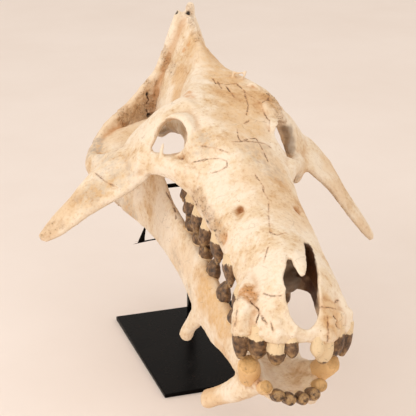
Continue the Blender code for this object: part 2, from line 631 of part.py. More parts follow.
def build_mandible():
    """The lower jaw, both halves grown together at the chin, with the lower teeth."""
    pieces = []
    for side in (-1, 1):
        # (ahead, side, top, bottom, half thickness) of upright slices
        body = [
            (0.290, 0.096, 0.046, -0.084, 0.014),
            (0.400, 0.086, 0.034, -0.078, 0.018),
            (0.500, 0.077, 0.027, -0.083, 0.019),
            (0.600, 0.071, 0.019, -0.105, 0.019),
            (0.660, 0.068, 0.014, -0.106, 0.018),
            (0.700, 0.067, 0.010, -0.102, 0.018),
            (0.750, 0.066, 0.005, -0.087, 0.018),
            (0.800, 0.064, -0.002, -0.078, 0.018),
            (0.845, 0.061, -0.006, -0.072, 0.020),
            (0.885, 0.056, -0.013, -0.063, 0.024),
        ]
        if side > 0:
            worn = {0.660: -0.014, 0.700: -0.042, 0.750: -0.056, 0.800: -0.060, 0.845: -0.044}
            body = [(a, v, worn.get(a, t), b - 0.006 * (a in worn), h) for a, v, t, b, h in body]
        ramus = [
            (0.052, 0.146, -0.030, -0.113, 0.012),
            (0.095, 0.139, 0.022, -0.109, 0.010),
            (0.140, 0.131, 0.034, -0.102, 0.010),
            (0.180, 0.122, 0.026, -0.096, 0.010),
            (0.220, 0.114, 0.070, -0.091, 0.010),
            (0.255, 0.107, 0.090, -0.088, 0.010),
            (0.290, 0.100, 0.074, -0.085, 0.011),
            (0.330, 0.094, 0.050, -0.083, 0.013),
            (0.380, 0.088, 0.030, -0.080, 0.015),
        ]
        for slices in (body, ramus):
            pieces.append(tube("jaw_half", mirrored(side, [
                ((ahead, out, (top + bottom) / 2), thick, (top - bottom) / 2, LEFTWARD)
                for ahead, out, top, bottom, thick in slices
            ]), square=0.85, upright=True))
        pieces.append(tube("condyle_neck", mirrored(side, [
            ((0.165, 0.124, -0.014), 0.022, 0.012, FORWARD),
            ((0.142, 0.142, 0.012), 0.018, 0.014, FORWARD),
            ((0.130, 0.154, 0.034), 0.013, 0.016, FORWARD),
        ])))
        pieces.append(tube("rear_knob", mirrored(side, [
            ((0.612, 0.074, -0.060), 0.036, 0.016, FORWARD),
            ((0.590, 0.078, -0.106), 0.024, 0.014, FORWARD),
            ((0.570, 0.081, -0.142), 0.017, 0.014, FORWARD),
            ((0.560, 0.083, -0.170), 0.017, 0.016, FORWARD),
        ])))
        pieces.append(tube("front_knob", mirrored(side, [
            ((0.886, 0.046, -0.050), 0.036, 0.026, FORWARD),
            ((0.866, 0.072, -0.092), 0.027, 0.021, FORWARD),
            ((0.838, 0.094, -0.126), 0.021, 0.017, FORWARD),
            ((0.814, 0.109, -0.151), 0.022, 0.018, FORWARD),
        ])))
        pieces.append(tube("lower_canine_socket", mirrored(side, [
            ((0.870, 0.056, -0.060), 0.020, 0.020, LEFTWARD),
            ((0.902, 0.068, -0.026), 0.023, 0.022, LEFTWARD),
        ])))
    chin = outline_body("mandible", [
        (0.760, [(0, -0.060), (0.020, -0.056), (0.050, -0.036), (0.074, -0.034), (0.056, -0.070),
                 (0, -0.076)],
         [(0.020, -0.060), (0.046, -0.062), (0.070, -0.066), (0.056, -0.080)]),
        (0.810, [(0, -0.048), (0.024, -0.042), (0.050, -0.024), (0.076, -0.028), (0.058, -0.070),
                 (0, -0.080)],
         [(0.024, -0.048), (0.048, -0.054), (0.072, -0.060), (0.058, -0.078)]),
        (0.870, [(0, -0.042), (0.026, -0.038), (0.052, -0.018), (0.078, -0.024), (0.060, -0.068),
                 (0, -0.078)],
         [(0.026, -0.040), (0.052, -0.030), (0.076, -0.034), (0.060, -0.068)]),
        (0.930, [(0, -0.042), (0.026, -0.039), (0.050, -0.024), (0.066, -0.032), (0.052, -0.058),
                 (0, -0.066)]),
        (0.966, [(0, -0.038), (0.022, -0.035), (0.040, -0.030), (0.048, -0.036), (0.038, -0.050),
                 (0, -0.054)]),
    ])
    combine(chin, pieces, "UNION")
    soften(chin, MANDIBLE_TRIANGLES)
    crisp = [jaw_condyle(side) for side in (-1, 1)]
    combine(chin, crisp + tooth_row(LOWER_TEETH, LOST_LOWER), "UNION")
    largest_body(chin)
    chin.data.transform(bone_pose() @ jaw_swing())
    return chin


def bone_pose():
    """Where the mount holds the skull, as a matrix from the skull's frame."""
    turn = Matrix.Rotation(math.radians(POSE_YAW), 4, "Z")
    turn = turn @ Matrix.Rotation(math.radians(POSE_NOSE_DOWN), 4, "X")
    turn = turn @ Matrix.Rotation(math.radians(POSE_LEFT_DOWN), 4, "Y")
    return Matrix.Translation(POSE_SHIFT) @ turn


def box(name, size, centre, bevel=0.0):
    """A block of the given size with its edges a little rounded."""
    bm = bmesh.new()
    bmesh.ops.create_cube(bm, size=1.0)
    bmesh.ops.scale(bm, vec=Vector(size), verts=bm.verts)
    if bevel:
        bmesh.ops.bevel(bm, geom=bm.edges[:], offset=bevel, segments=1, profile=0.5,
                        affect="EDGES", material=-1)
    bmesh.ops.translate(bm, vec=Vector(centre), verts=bm.verts)
    return object_of(name, bm)


def rod(name, points, radius, sides=8):
    """A bent wire through the points, in metres, with mitred corners."""
    last = len(points) - 1
    rings = []
    hint = Vector((0.31, 0.95, 0.05)).normalized()
    for i, point in enumerate(points):
        before = (point - points[i - 1]).normalized() if i else None
        after = (points[i + 1] - point).normalized() if i < last else None
        along = ((before or after) + (after or before)).normalized()
        across = (hint - along * hint.dot(along)).normalized()
        other = along.cross(across)
        ring = []
        for k in range(sides):
            turn = math.tau * k / sides
            ring.append(point + (across * math.cos(turn) + other * math.sin(turn)) * radius)
        rings.append(ring)
    return skin_rings(name, rings)


def post_body(name, extra=0.0):
    """The square post, or the hole for its top when extra is the gap."""
    bottom = PLATE_THICK + GAP
    side = POST_SIDE + 2 * extra
    height = POST_TOP + extra - bottom
    centre = (POST_RIGHT, PLATE_DEPTH / 2 - POST_BACK_EDGE, bottom + height / 2)
    return box(name, (side, side, height), centre)


def build_arm(name, side, mandible):
    """One cross bar of the post, with the wire that hooks under the jaw on that side."""
    pose = bone_pose()
    y = PLATE_DEPTH / 2 - POST_BACK_EDGE
    start = POST_RIGHT + side * (POST_SIDE / 2 + GAP)
    end = (pose @ place(0.19, 0.074 * side, 0)).x
    length = abs(end - start) + WIRE_RADIUS
    arm = box(name, (length, BAR_SIDE, BAR_SIDE), (start + side * length / 2, y, BAR_HEIGHT))
    low = pose @ place(0.212, 0.078 * side, -0.132)
    foot = pose @ place(0.220, 0.108 * side, -0.134)
    upward = (pose.to_3x3() @ Vector((0, 0, 1))).normalized()
    tree = BVHTree.FromObject(mandible, bpy.context.evaluated_depsgraph_get())
    clear = []
    for k in range(9):
        reach = WIRE_RADIUS * 1.2 if k else 0.0
        shift = Vector((math.cos(math.tau * k / 8), math.sin(math.tau * k / 8), 0)) * reach
        clear.append(tree.ray_cast(foot + shift, upward)[3] or 1.0)
    tip = foot + upward * (min(clear) - GAP)
    start_wire = Vector((end, y, BAR_HEIGHT))
    wire = rod("wire", [start_wire, low, foot, tip], WIRE_RADIUS)
    return combine(arm, [wire], "UNION")


def build_stand(mandible):
    """The plate, the post that stands on it and its two arms."""
    plate = box("stand_plate", (PLATE_WIDTH, PLATE_DEPTH, PLATE_THICK), (0, 0, PLATE_THICK / 2),
                PLATE_BEVEL)
    return [
        plate,
        post_body("stand_post"),
        build_arm("stand_arm_right", -1, mandible),
        build_arm("stand_arm_left", 1, mandible),
    ]


def paint(obj, name, colour, roughness, metallic):
    """Gives an object its material."""
    material = bpy.data.materials.new(name)
    material.use_nodes = True
    shader = material.node_tree.nodes["Principled BSDF"]
    shader.inputs["Base Color"].default_value = colour
    shader.inputs["Roughness"].default_value = roughness
    shader.inputs["Metallic"].default_value = metallic
    obj.data.materials.clear()
    obj.data.materials.append(material)


def main():
    """Builds the whole object in an empty scene."""
    for obj in list(bpy.data.objects):
        bpy.data.objects.remove(obj)
    cranium = build_cranium()
    mandible = build_mandible()
    for bone in (cranium, mandible):
        paint(bone, bone.name + "_bone", BONE_COLOUR, 0.7, 0.0)
        bone.data.shade_smooth()
    for piece in build_stand(mandible):
        paint(piece, piece.name + "_steel", STEEL_COLOUR, 0.3, 0.6)


main()
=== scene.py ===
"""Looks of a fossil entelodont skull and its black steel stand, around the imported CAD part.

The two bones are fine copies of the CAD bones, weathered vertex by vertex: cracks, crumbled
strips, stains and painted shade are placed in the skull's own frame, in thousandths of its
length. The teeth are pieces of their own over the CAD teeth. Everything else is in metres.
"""

import logging
import math
from dataclasses import dataclass, field
from enum import Enum

import bmesh
import bpy
import numpy as np
from mathutils import Matrix, Vector, noise


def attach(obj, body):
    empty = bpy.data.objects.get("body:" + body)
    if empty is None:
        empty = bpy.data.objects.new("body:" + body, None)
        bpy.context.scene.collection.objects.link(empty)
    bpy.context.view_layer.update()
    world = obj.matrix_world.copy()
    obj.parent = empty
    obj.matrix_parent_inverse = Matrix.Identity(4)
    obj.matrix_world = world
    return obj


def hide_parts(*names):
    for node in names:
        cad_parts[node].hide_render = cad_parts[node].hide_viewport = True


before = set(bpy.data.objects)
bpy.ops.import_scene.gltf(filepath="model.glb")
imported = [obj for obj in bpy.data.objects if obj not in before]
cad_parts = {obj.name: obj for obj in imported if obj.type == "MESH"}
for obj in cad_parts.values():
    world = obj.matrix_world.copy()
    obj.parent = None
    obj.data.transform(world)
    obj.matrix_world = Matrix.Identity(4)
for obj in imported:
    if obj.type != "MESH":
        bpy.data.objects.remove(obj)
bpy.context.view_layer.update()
LOG = logging.getLogger("skull")
Point = tuple[float, float, float]


def linear(code: str) -> tuple[float, float, float, float]:
    """Turns an sRGB hex colour into linear RGBA.

    Args:
        code: six hex digits.

    Returns:
        The linear colour with alpha 1.
    """
    parts = [int(code[i:i + 2], 16) / 255 for i in (0, 2, 4)]
    made = [p / 12.92 if p <= 0.04045 else ((p + 0.055) / 1.055) ** 2.4 for p in parts]
    return (made[0], made[1], made[2], 1.0)


# hollow and deep mark painted shade in recesses, tan is partly painted shade on the left slopes, and the
# mask of the nose opening and the orbits is painted shadow and soil stain
BONE_MASKS = ("crack", "rough", "tan", "rust", "grey", "dark", "shadow_and_soil_inside", "hollow", "deep", "ridge")
TOOTH_MASKS = ("bare", "worn", "orange")
FAR = 9.0  # a distance larger than any here, in shares of a length
WELD_GAP = 1e-6  # vertices nearer than this, in metres, are one


@dataclass(frozen=True)
class Span:
    """A field between two of its values, mapped to a start and an end and held between them."""

    field: str
    low: float = 0.0
    high: float = 1.0
    start: float = 0.0
    end: float = 1.0


Spans = tuple[Span, ...]


@dataclass(frozen=True)
class Layer:
    """A colour laid over those beneath it, by the product of its spans and its strength."""

    colour: str
    spans: Spans
    strength: float = 1.0

    BLEND = "MIX"


class Stain(Layer):
    """A layer that soaks in and darkens the colours beneath it."""

    BLEND = "MULTIPLY"


class Shader:
    """A material under construction, with the fields that its layers read."""

    def __init__(self, name: str, noises: dict[str, tuple[float, float]],
                 masks: tuple[str, ...] = ()) -> None:
        """Starts a node material with one field for each noise and mask.

        Args:
            name: the material's name.
            noises: cells per metre and detail of each noise, by its field's name.
            masks: the vertex attributes that the pieces carry.
        """
        self.material = bpy.data.materials.new(name)
        self.material.use_nodes = True
        self.tree = self.material.node_tree
        self.tree.nodes.clear()
        self.place = self.add("TexCoord", (), "Object")
        self.fields = {key: self.add("Attribute", (), "Fac", attribute_name=key) for key in masks}
        for key, (scale, detail) in noises.items():
            inputs = {"Vector": self.place, "Scale": scale, "Detail": detail, "Roughness": 0.6}
            self.fields[key] = self.add("TexNoise", inputs, "Fac")

    def add(self, kind: str, inputs: dict | tuple, out: str | int = 0,
            **settings: str) -> bpy.types.NodeSocket | None:
        """Adds one shader node with its settings and links.

        Args:
            kind: node type without its ShaderNode prefix.
            inputs: constants, and sockets to link, by name or number or in the node's order.
            out: name or number of the output that is wanted.
            settings: properties of the node.

        Returns:
            The output, or None for a node without outputs.
        """
        node = self.tree.nodes.new("ShaderNode" + kind)
        for key, value in settings.items():
            setattr(node, key, value)
        for key, value in inputs.items() if isinstance(inputs, dict) else enumerate(inputs):
            if isinstance(value, bpy.types.NodeSocket):
                self.tree.links.new(value, node.inputs[key])
            else:
                node.inputs[key].default_value = value
        return node.outputs[out] if len(node.outputs) else None

    def amount(self, spans: Spans, strength: float = 1.0) -> bpy.types.NodeSocket:
        """Multiplies spans and a strength.

        Args:
            spans: one or more spans of fields.
            strength: a constant factor.

        Returns:
            The product.
        """
        made = strength
        for span in spans:
            held = self.add("MapRange", (self.fields[span.field], span.low, span.high, span.start, span.end))
            made = self.add("Math", (made, held), operation="MULTIPLY")
        return made

    def finish(self, base: str, layers: list[Layer], relief: list[tuple[float, Spans]], depth: float,
               roughness: float | Span, ior: float, specular: float = 0.5) -> bpy.types.Material:
        """Lays the colours and the relief and closes the material.

        Args:
            base: the lowest colour, as six hex digits.
            layers: the colours over it, lowest first.
            relief: strengths and spans that add up to the height of the fine relief.
            depth: how many metres one unit of relief stands for.
            roughness: a value, or the span that gives it.
            ior: index of refraction.
            specular: strength of the surface reflection, 0.5 for a clean dielectric.

        Returns:
            The material.
        """
        colour = linear(base)
        for layer in layers:
            inputs = {0: self.amount(layer.spans, layer.strength), 6: colour, 7: linear(layer.colour)}
            colour = self.add("Mix", inputs, 2, data_type="RGBA", blend_type=layer.BLEND)
        height = 0.0
        for strength, spans in relief:
            height = self.add("Math", (height, self.amount(spans, strength)), operation="ADD")
        sheen = self.amount((roughness,)) if isinstance(roughness, Span) else roughness
        normal = self.add("Bump", {"Strength": 0.8, "Distance": depth, "Height": height})
        surface = self.add("BsdfPrincipled", {"Base Color": colour, "Roughness": sheen, "IOR": ior,
                                              "Specular IOR Level": specular, "Normal": normal})
        self.add("OutputMaterial", {"Surface": surface})
        return self.material


@dataclass(frozen=True)
class FossilBone:
    """Weathered fossil bone: mineralised, cleaned with picks and lightly consolidated.

    Cream where the outer layer is whole, tan to brown where it is worn through, with dark pits in
    the spongy layer, and painted shade in the hollows, on the left slopes and inside the nose
    opening and the orbits: the eye reads dry stone with a faint satin.
    """

    pale: str = "EFDEC7"
    cream: str = "E5CDAC"
    tan: str = "D3AF82"
    umber: str = "A97B4A"
    brown: str = "7A532E"
    rust: str = "CC8A44"
    dark: str = "22140B"
    grey: str = "BBA893"
    seam: str = "563A20"
    dirt_stain: str = "C79A68"
    tan_and_painted_shade: str = "EACDA0"
    hollow_painted_shade: str = "CFA26C"
    deep_painted_shade: str = "E8CEAC"
    inner_shadow_and_soil: str = "5C4028"
    roughness: float = 0.56
    relief: float = 0.0017
    ior: float = 1.5

    def build(self, name: str) -> bpy.types.Material:
        """Makes the material.

        Args:
            name: the material's name.

        Returns:
            The material, which reads the vertex attributes that weathering leaves.
        """
        # cells of about 50, 8, 4 and 2 mm
        mix = Shader(name, {"patches": (20.0, 6.0), "blotches": (120.0, 5.0), "dirt": (230.0, 6.0),
                            "grain": (420.0, 3.0)}, BONE_MASKS)
        fields = mix.fields
        fields["mottle"] = mix.add("Math", (fields["blotches"], 0.35, fields["patches"]),
                                   operation="MULTIPLY_ADD")
        # the crack mask falls off over 4 mm on each side, so a high value is a thin line
        fray = mix.add("MapRange", (fields["grain"], 0.3, 0.7, -0.06, 0.05))
        fields["frayed"] = mix.add("Math", (fields["crack"], fray), operation="ADD")
        for key, scale in (("specks", 150.0), ("pores", 420.0)):
            fields[key] = mix.add("TexVoronoi", {"Vector": mix.place, "Scale": scale}, "Distance")
        # wavy edges of cells of about 26 mm
        bent = mix.add("TexNoise", {"Vector": mix.place, "Scale": 60.0, "Detail": 3.0}, "Color")
        wavy = mix.add("Mix", {0: 0.02, 4: mix.place, 5: bent}, 1, data_type="VECTOR")
        fields["cells"] = mix.add("TexVoronoi", {"Vector": wavy, "Scale": 38.0}, "Distance",
                                  feature="DISTANCE_TO_EDGE")
        line = (Span("frayed", 0.78, 0.97),)
        holes = (Span("pores", 0.36, 0.16), Span("blotches", 0.42, 0.60), Span("rough"))
        hair = (Span("cells", 0.020, 0.006), Span("patches", 0.56, 0.68, 0.0, 0.42))
        layers = [
            # broad mottling
            Layer(self.cream, (Span("mottle", 0.50, 0.61),)),
            Layer(self.pale, (Span("mottle", 0.61, 0.74),)),
            # dirt that the pick left in the grain
            Stain(self.dirt_stain, (Span("dirt", 0.50, 0.70), Span("patches", 0.62, 0.40, 0.15, 0.55))),
            # tan where the outer layer is thin, also painted shade on the left slopes, and paler on ridges
            Stain(self.tan_and_painted_shade, (Span("tan"), Span("blotches", 0.30, 0.62, 0.55, 1.0))),
            Layer(self.pale, (Span("ridge"),), 0.55),
            # painted shade: every hollow and the deep hollows are darkened
            Stain(self.hollow_painted_shade, (Span("hollow"), Span("blotches", 0.25, 0.70, 0.45, 0.85))),
            Stain(self.deep_painted_shade, (Span("deep"),)),
            # painted shadow and soil stain inside the nose opening and round the orbits
            Stain(self.inner_shadow_and_soil, (Span("shadow_and_soil_inside"),)),
            # grey manganese clouding
            Layer(self.grey, (Span("grey"), Span("blotches", 0.40, 0.62))),
            # sparse brown specks of 1 to 2 mm
            Layer(self.umber, (Span("specks", 0.16, 0.08), Span("blotches", 0.52, 0.62)), 0.7),
            # orange iron stain round the breaks
            Layer(self.rust, (Span("rust"), Span("blotches", 0.30, 0.55))),
            # the crumbled spongy layer: open pores of about 1 mm between brown grains
            Layer(self.umber, (Span("rough"), Span("blotches", 0.34, 0.60, 0.25, 1.0)), 0.55),
            Layer(self.brown, holes),
            # cracks: a rusty border and a dark line
            Stain(self.rust, (Span("frayed", 0.45, 0.80, 0.0, 0.30),)),
            Layer(self.seam, line, 0.9),
            # hairlines of a craze pattern, only here and there, and dark holes
            Layer(self.brown, hair),
            Layer(self.dark, (Span("dark"),)),
        ]
        # grain about 0.2 mm high, with cracks and pores cut in
        relief = [(0.35, (Span("grain"),)), (0.8, (Span("blotches"),)), (-1.0, line), (-1.2, holes),
                  (-0.5, hair)]
        return mix.finish(self.tan, layers, relief, self.relief, self.roughness, self.ior)


@dataclass(frozen=True)
class FossilEnamel:
    """Fossil tooth: dark glassy enamel, a bone-coloured root and brown worn dentine."""

    dark: str = "3A2716"
    mid: str = "6A4B2E"
    light: str = "93704A"
    worn: str = "A98659"
    root: str = "E2C79F"
    orange: str = "E0B070"
    craze: str = "2A1B10"
    sheen: Span = Span("edge", 0.44, 0.56, 0.42, 0.55)
    relief: float = 0.0006
    ior: float = 1.6
    specular: float = 0.35

    def build(self, name: str) -> bpy.types.Material:
        """Makes the material.

        Args:
            name: the material's name.

        Returns:
            The material, which reads the attributes bare, worn and orange.
        """
        mix = Shader(name, {"mottle": (160.0, 5.0), "fine": (700.0, 3.0)}, TOOTH_MASKS)
        fields = mix.fields
        # the enamel ends in a ragged edge on the root
        fray = mix.add("MapRange", (fields["mottle"], 0.35, 0.65, -0.16, 0.16))
        fields["edge"] = mix.add("Math", (fields["bare"], fray), operation="ADD")
        fields["cells"] = mix.add("TexVoronoi", {"Vector": mix.place, "Scale": 95.0}, "Distance",
                                  feature="DISTANCE_TO_EDGE")
        crazed = (Span("cells", 0.022, 0.006, 0.0, 0.5), Span("mottle", 0.46, 0.62))
        layers = [
            Layer(self.mid, (Span("mottle", 0.36, 0.50),)),
            Layer(self.light, (Span("mottle", 0.50, 0.66),)),
            Layer(self.worn, (Span("worn"), Span("mottle", 0.40, 0.58))),
            Layer(self.root, (Span("edge", 0.44, 0.56),)),
            Layer(self.orange, (Span("orange"), Span("mottle", 0.30, 0.42, 0.55, 1.0))),
            Layer(self.craze, crazed),
        ]
        relief = [(1.0, (Span("fine"),)), (1.0, (Span("mottle"),)), (-1.0, crazed)]
        return mix.finish(self.dark, layers, relief, self.relief, self.sheen, self.ior, self.specular)


@dataclass(frozen=True)
class BlackEnamelPaint:
    """Gloss black enamel paint on mild steel, sprayed: faint orange peel and a little dust."""

    black: str = "070505"
    film: str = "120F0E"
    dust: str = "2B2623"
    sheen: Span = Span("cloud", 0.3, 0.7, 0.20, 0.34)
    relief: float = 0.0001
    ior: float = 1.5
    specular: float = 0.03

    def build(self, name: str) -> bpy.types.Material:
        """Makes the material.

        Args:
            name: the material's name.

        Returns:
            The material.
        """
        mix = Shader(name, {"peel": (330.0, 2.0), "cloud": (30.0, 6.0)})
        mix.fields["specks"] = mix.add("TexVoronoi", {"Vector": mix.place, "Scale": 160.0}, "Distance")
        layers = [Layer(self.film, (Span("cloud", 0.35, 0.75),)),
                  Layer(self.dust, (Span("specks", 0.10, 0.04), Span("cloud", 0.45, 0.60)))]
        relief = [(1.0, (Span("peel"),))]
        return mix.finish(self.black, layers, relief, self.relief, self.sheen, self.ior, self.specular)


@dataclass(frozen=True)
class PaperSweep:
    """Matt seamless studio paper: an even pale tone with a barely visible fibre."""

    pale: str = "F1E6DF"
    shade: str = "EDE1D9"
    roughness: float = 0.9
    relief: float = 0.0001
    ior: float = 1.4

    def build(self, name: str) -> bpy.types.Material:
        """Makes the material.

        Args:
            name: the material's name.

        Returns:
            The material.
        """
        mix = Shader(name, {"cloud": (3.0, 4.0), "fibre": (900.0, 2.0)})
        layers = [Layer(self.pale, (Span("cloud", 0.30, 0.70),))]
        relief = [(1.0, (Span("fibre"),))]
        return mix.finish(self.shade, layers, relief, self.relief, self.roughness, self.ior)


def shares(point: Point) -> Point:
    """Returns a point in shares of the skull's length, from thousandths of it."""
    return (point[0] / 1000, point[1] / 1000, point[2] / 1000)


@dataclass(frozen=True)
class SkullFrame:
    """The skull's own frame and how the mount holds it, as in the CAD source."""

    length: float = 0.612
    yaw: float = -2.0
    nose_down: float = 2.3
    left_down: float = 6.7
    shift: Point = (0.0064, 0.1963, 0.2252)
    gape: float = 6.3
    hinge: tuple[float, float] = (0.125, 0.040)

    def pose(self) -> Matrix:
        """Works out how the cranium stands.

        Returns:
            The matrix from the skull's frame to the stand's.
        """
        turn = Matrix.Rotation(math.radians(self.yaw), 4, "Z")
        turn = turn @ Matrix.Rotation(math.radians(self.nose_down), 4, "X")
        turn = turn @ Matrix.Rotation(math.radians(self.left_down), 4, "Y")
        return Matrix.Translation(Vector(self.shift)) @ turn

    def jaw_pose(self) -> Matrix:
        """Works out how the lower jaw hangs, swung open about its hinge.

        Returns:
            The matrix from the skull's frame to the stand's.
        """
        hinge = Matrix.Translation(Vector((0, -self.hinge[0], self.hinge[1])) * self.length)
        swing = hinge @ Matrix.Rotation(math.radians(self.gape), 4, "X") @ hinge.inverted()
        return self.pose() @ swing

    def raw(self, point: Point) -> Vector:
        """Returns a point in metres in the skull's frame, from thousandths (ahead, side, up)."""
        ahead, side, up = shares(point)
        return Vector((side, -ahead, up)) * self.length


SKULL = SkullFrame()


class Axis(Enum):
    """Which matrix a bone's own measurements go through."""

    CRANIUM = "cranium"
    JAW = "mandible"

    def matrix(self) -> Matrix:
        """Returns the matrix from the skull's frame to the stand's for this bone."""
        return SKULL.pose() if self is Axis.CRANIUM else SKULL.jaw_pose()

    def at(self, point: Point) -> Vector:
        """Returns a point of this bone, in metres in the stand's frame."""
        return self.matrix() @ SKULL.raw(point)


def link(name: str, bm: bmesh.types.BMesh, material: bpy.types.Material) -> bpy.types.Object:
    """Turns a bmesh into an object of the scene, shaded smooth.

    Args:
        name: the object's name.
        bm: its shape, which is freed.
        material: its finish.

    Returns:
        The new object.
    """
    mesh = bpy.data.meshes.new(name)
    bm.to_mesh(mesh)
    bm.free()
    mesh.shade_smooth()
    mesh.materials.append(material)
    obj = bpy.data.objects.new(name, mesh)
    bpy.context.scene.collection.objects.link(obj)
    return obj


def remesh(obj: bpy.types.Object, voxel: float, smoothing: int) -> None:
    """Joins an object's shells into one even skin and softens it.

    Args:
        obj: the object, changed in place.
        voxel: size of the cells in metres.
        smoothing: rounds of smoothing.
    """
    material = obj.data.materials[0]
    cells = obj.modifiers.new("skin", "REMESH")
    cells.mode = "VOXEL"
    cells.voxel_size = voxel
    soft = obj.modifiers.new("soft", "SMOOTH")
    soft.factor = 0.5
    soft.iterations = smoothing
    apply_modifiers(obj)
    obj.data.materials.clear()
    obj.data.materials.append(material)


def apply_modifiers(obj: bpy.types.Object) -> None:
    """Bakes an object's modifiers into its mesh.

    Args:
        obj: the object, changed in place.
    """
    graph = bpy.context.evaluated_depsgraph_get()
    mesh = bpy.data.meshes.new_from_object(obj.evaluated_get(graph))
    obj.modifiers.clear()
    old = obj.data
    obj.data = mesh
    bpy.data.meshes.remove(old)


def read_points(mesh: bpy.types.Mesh, key: str = "co") -> np.ndarray:
    """Reads one kind of vector from every vertex of a mesh.

    Args:
        mesh: the mesh.
        key: co for the places or normal for the normals.

    Returns:
        One row for each vertex.
    """
    values = np.empty(len(mesh.vertices) * 3)
    mesh.vertices.foreach_get(key, values)
    return values.reshape(-1, 3)


def write_mask(mesh: bpy.types.Mesh, key: str, values: np.ndarray) -> None:
    """Leaves one value per vertex for the finishes to read."""
    layer = mesh.attributes.new(key, "FLOAT", "POINT")
    layer.data.foreach_set("value", values.astype(np.float32))


def turned(points: np.ndarray, matrix: Matrix) -> np.ndarray:
    """Returns rows of points moved by a matrix."""
    rows = np.array(matrix)
    return points @ rows[:3, :3].T + rows[:3, 3]


def rough_noise(points: np.ndarray, scale: float) -> np.ndarray:
    """Returns smooth noise of about -1 to 1 at each point, in cells per metre."""
    return np.array([noise.noise(Vector(p) * scale) for p in points])


class Form(Enum):
    """The forms of tooth here: how the crown's half sizes run from the root to the tip."""

    INCISOR = ((-0.35, 0.80), (0.0, 0.90), (0.20, 0.98), (0.42, 1.04), (0.62, 0.98), (0.80, 0.78),
               (0.93, 0.50), (1.0, 0.26))
    CANINE = ((-0.35, 0.92), (0.0, 1.0), (0.25, 1.0), (0.48, 0.92), (0.68, 0.76), (0.84, 0.58),
              (0.95, 0.42), (1.0, 0.26))
    PREMOLAR = ((-0.35, 0.84), (0.0, 0.98), (0.16, 1.04), (0.34, 0.96), (0.54, 0.76), (0.74, 0.50),
                (0.92, 0.26), (1.0, 0.12))
    STUMP = ((-0.35, 0.96), (0.0, 1.0), (0.30, 1.02), (0.60, 1.0), (0.80, 0.94), (0.92, 0.80),
             (0.98, 0.60), (1.0, 0.40))
    MOLAR = ((-0.35, 0.84), (0.0, 0.96), (0.20, 1.03), (0.42, 1.03), (0.58, 0.97), (0.68, 0.84),
             (0.73, 0.62), (0.75, 0.30))

    def rings(self) -> tuple[tuple[float, float], ...]:
        """Returns the shares of height and of half size at each ring, from the root up."""
        return self.value


@dataclass(frozen=True)
class Tooth:
    """One tooth of one side: root, tip and half sizes in thousandths of the skull's length.

    bare is the share of the height where bone-coloured root shows, orange how far the whole
    tooth has lost its enamel to iron-stained dentine.
    """

    form: Form
    root: Point
    tip: Point
    half_long: int
    half_wide: int
    bare: float = 0.10
    orange: float = 0.0

    SKIN = 0.0007  # how far the crown stands off the CAD tooth, in metres
    CUSPS = ((-0.46, -0.50), (0.46, -0.50), (-0.46, 0.48), (0.46, 0.48), (0.0, 0.0))
    CUSP_SIZES = (0.48, 0.46, 0.30)
    CUSP_HEIGHT = 0.70

    def place(self, side: int, axis: Axis) -> Matrix:
        """Returns the matrix from the tooth's own frame: x outward, y ahead, z to the tip.

        Args:
            side: 1 for the skull's left, -1 for its right.
            axis: the bone that carries it.

        Returns:
            The matrix to the stand's frame, in metres.
        """
        root = SKULL.raw((self.root[0], self.root[1] * side, self.root[2]))
        tip = SKULL.raw((self.tip[0], self.tip[1] * side, self.tip[2]))
        up = (tip - root).normalized()
        ahead = (Vector((0, -1, 0)) - up * up.dot(Vector((0, -1, 0)))).normalized()
        turn = Matrix((up.cross(ahead), ahead, up)).transposed().to_4x4()
        return axis.matrix() @ Matrix.Translation(root) @ turn

    def sizes(self) -> Point:
        """Measures the tooth.

        Returns:
            Its half width, half length and height in metres.
        """
        height = (Vector(shares(self.tip)) - Vector(shares(self.root))).length
        return (self.half_wide / 1000 * SKULL.length, self.half_long / 1000 * SKULL.length,
                height * SKULL.length)

    def local(self, points: np.ndarray, side: int, axis: Axis) -> np.ndarray:
        """Returns points in shares of the tooth's own sizes, 1 at its side and at its tip."""
        return turned(points, self.place(side, axis).inverted()) / np.array(self.sizes())

    def add_to(self, bm: bmesh.types.BMesh, side: int, axis: Axis) -> None:
        """Adds the crown, open at its foot, and the cusps if it is a molar, to a bmesh.

        Args:
            bm: the row of teeth.
            side: 1 for the skull's left, -1 for its right.
            axis: the bone that carries it.
        """
        wide, long, height = (size + self.SKIN for size in self.sizes())
        place = self.place(side, axis)
        ring = bmesh.ops.create_circle(bm, cap_ends=True, segments=24, radius=1.0)["verts"]
        face = ring[0].link_faces[0]
        before = Matrix.Identity(4)
        made = ring
        for along, share in self.form.rings():
            level = Matrix.Translation((0, 0, along * height))
            after = place @ level @ Matrix.Diagonal((wide * share, long * share, 1, 1))
            if before != Matrix.Identity(4):
                face = bmesh.ops.extrude_discrete_faces(bm, faces=[face])["faces"][0]
                made = list(face.verts)
            bmesh.ops.transform(bm, matrix=after @ before.inverted(), verts=made)
            before = after
        if self.form is Form.MOLAR:
            for x, y in self.CUSPS:
                cusp = Matrix.Translation((x * wide, y * long, height * self.CUSP_HEIGHT))
                across, along, up = self.CUSP_SIZES
                size = Matrix.Diagonal((wide * across, long * along, height * up, 1))
                bmesh.ops.create_uvsphere(bm, u_segments=14, v_segments=10, radius=1.0,
                                          matrix=place @ cusp @ size)


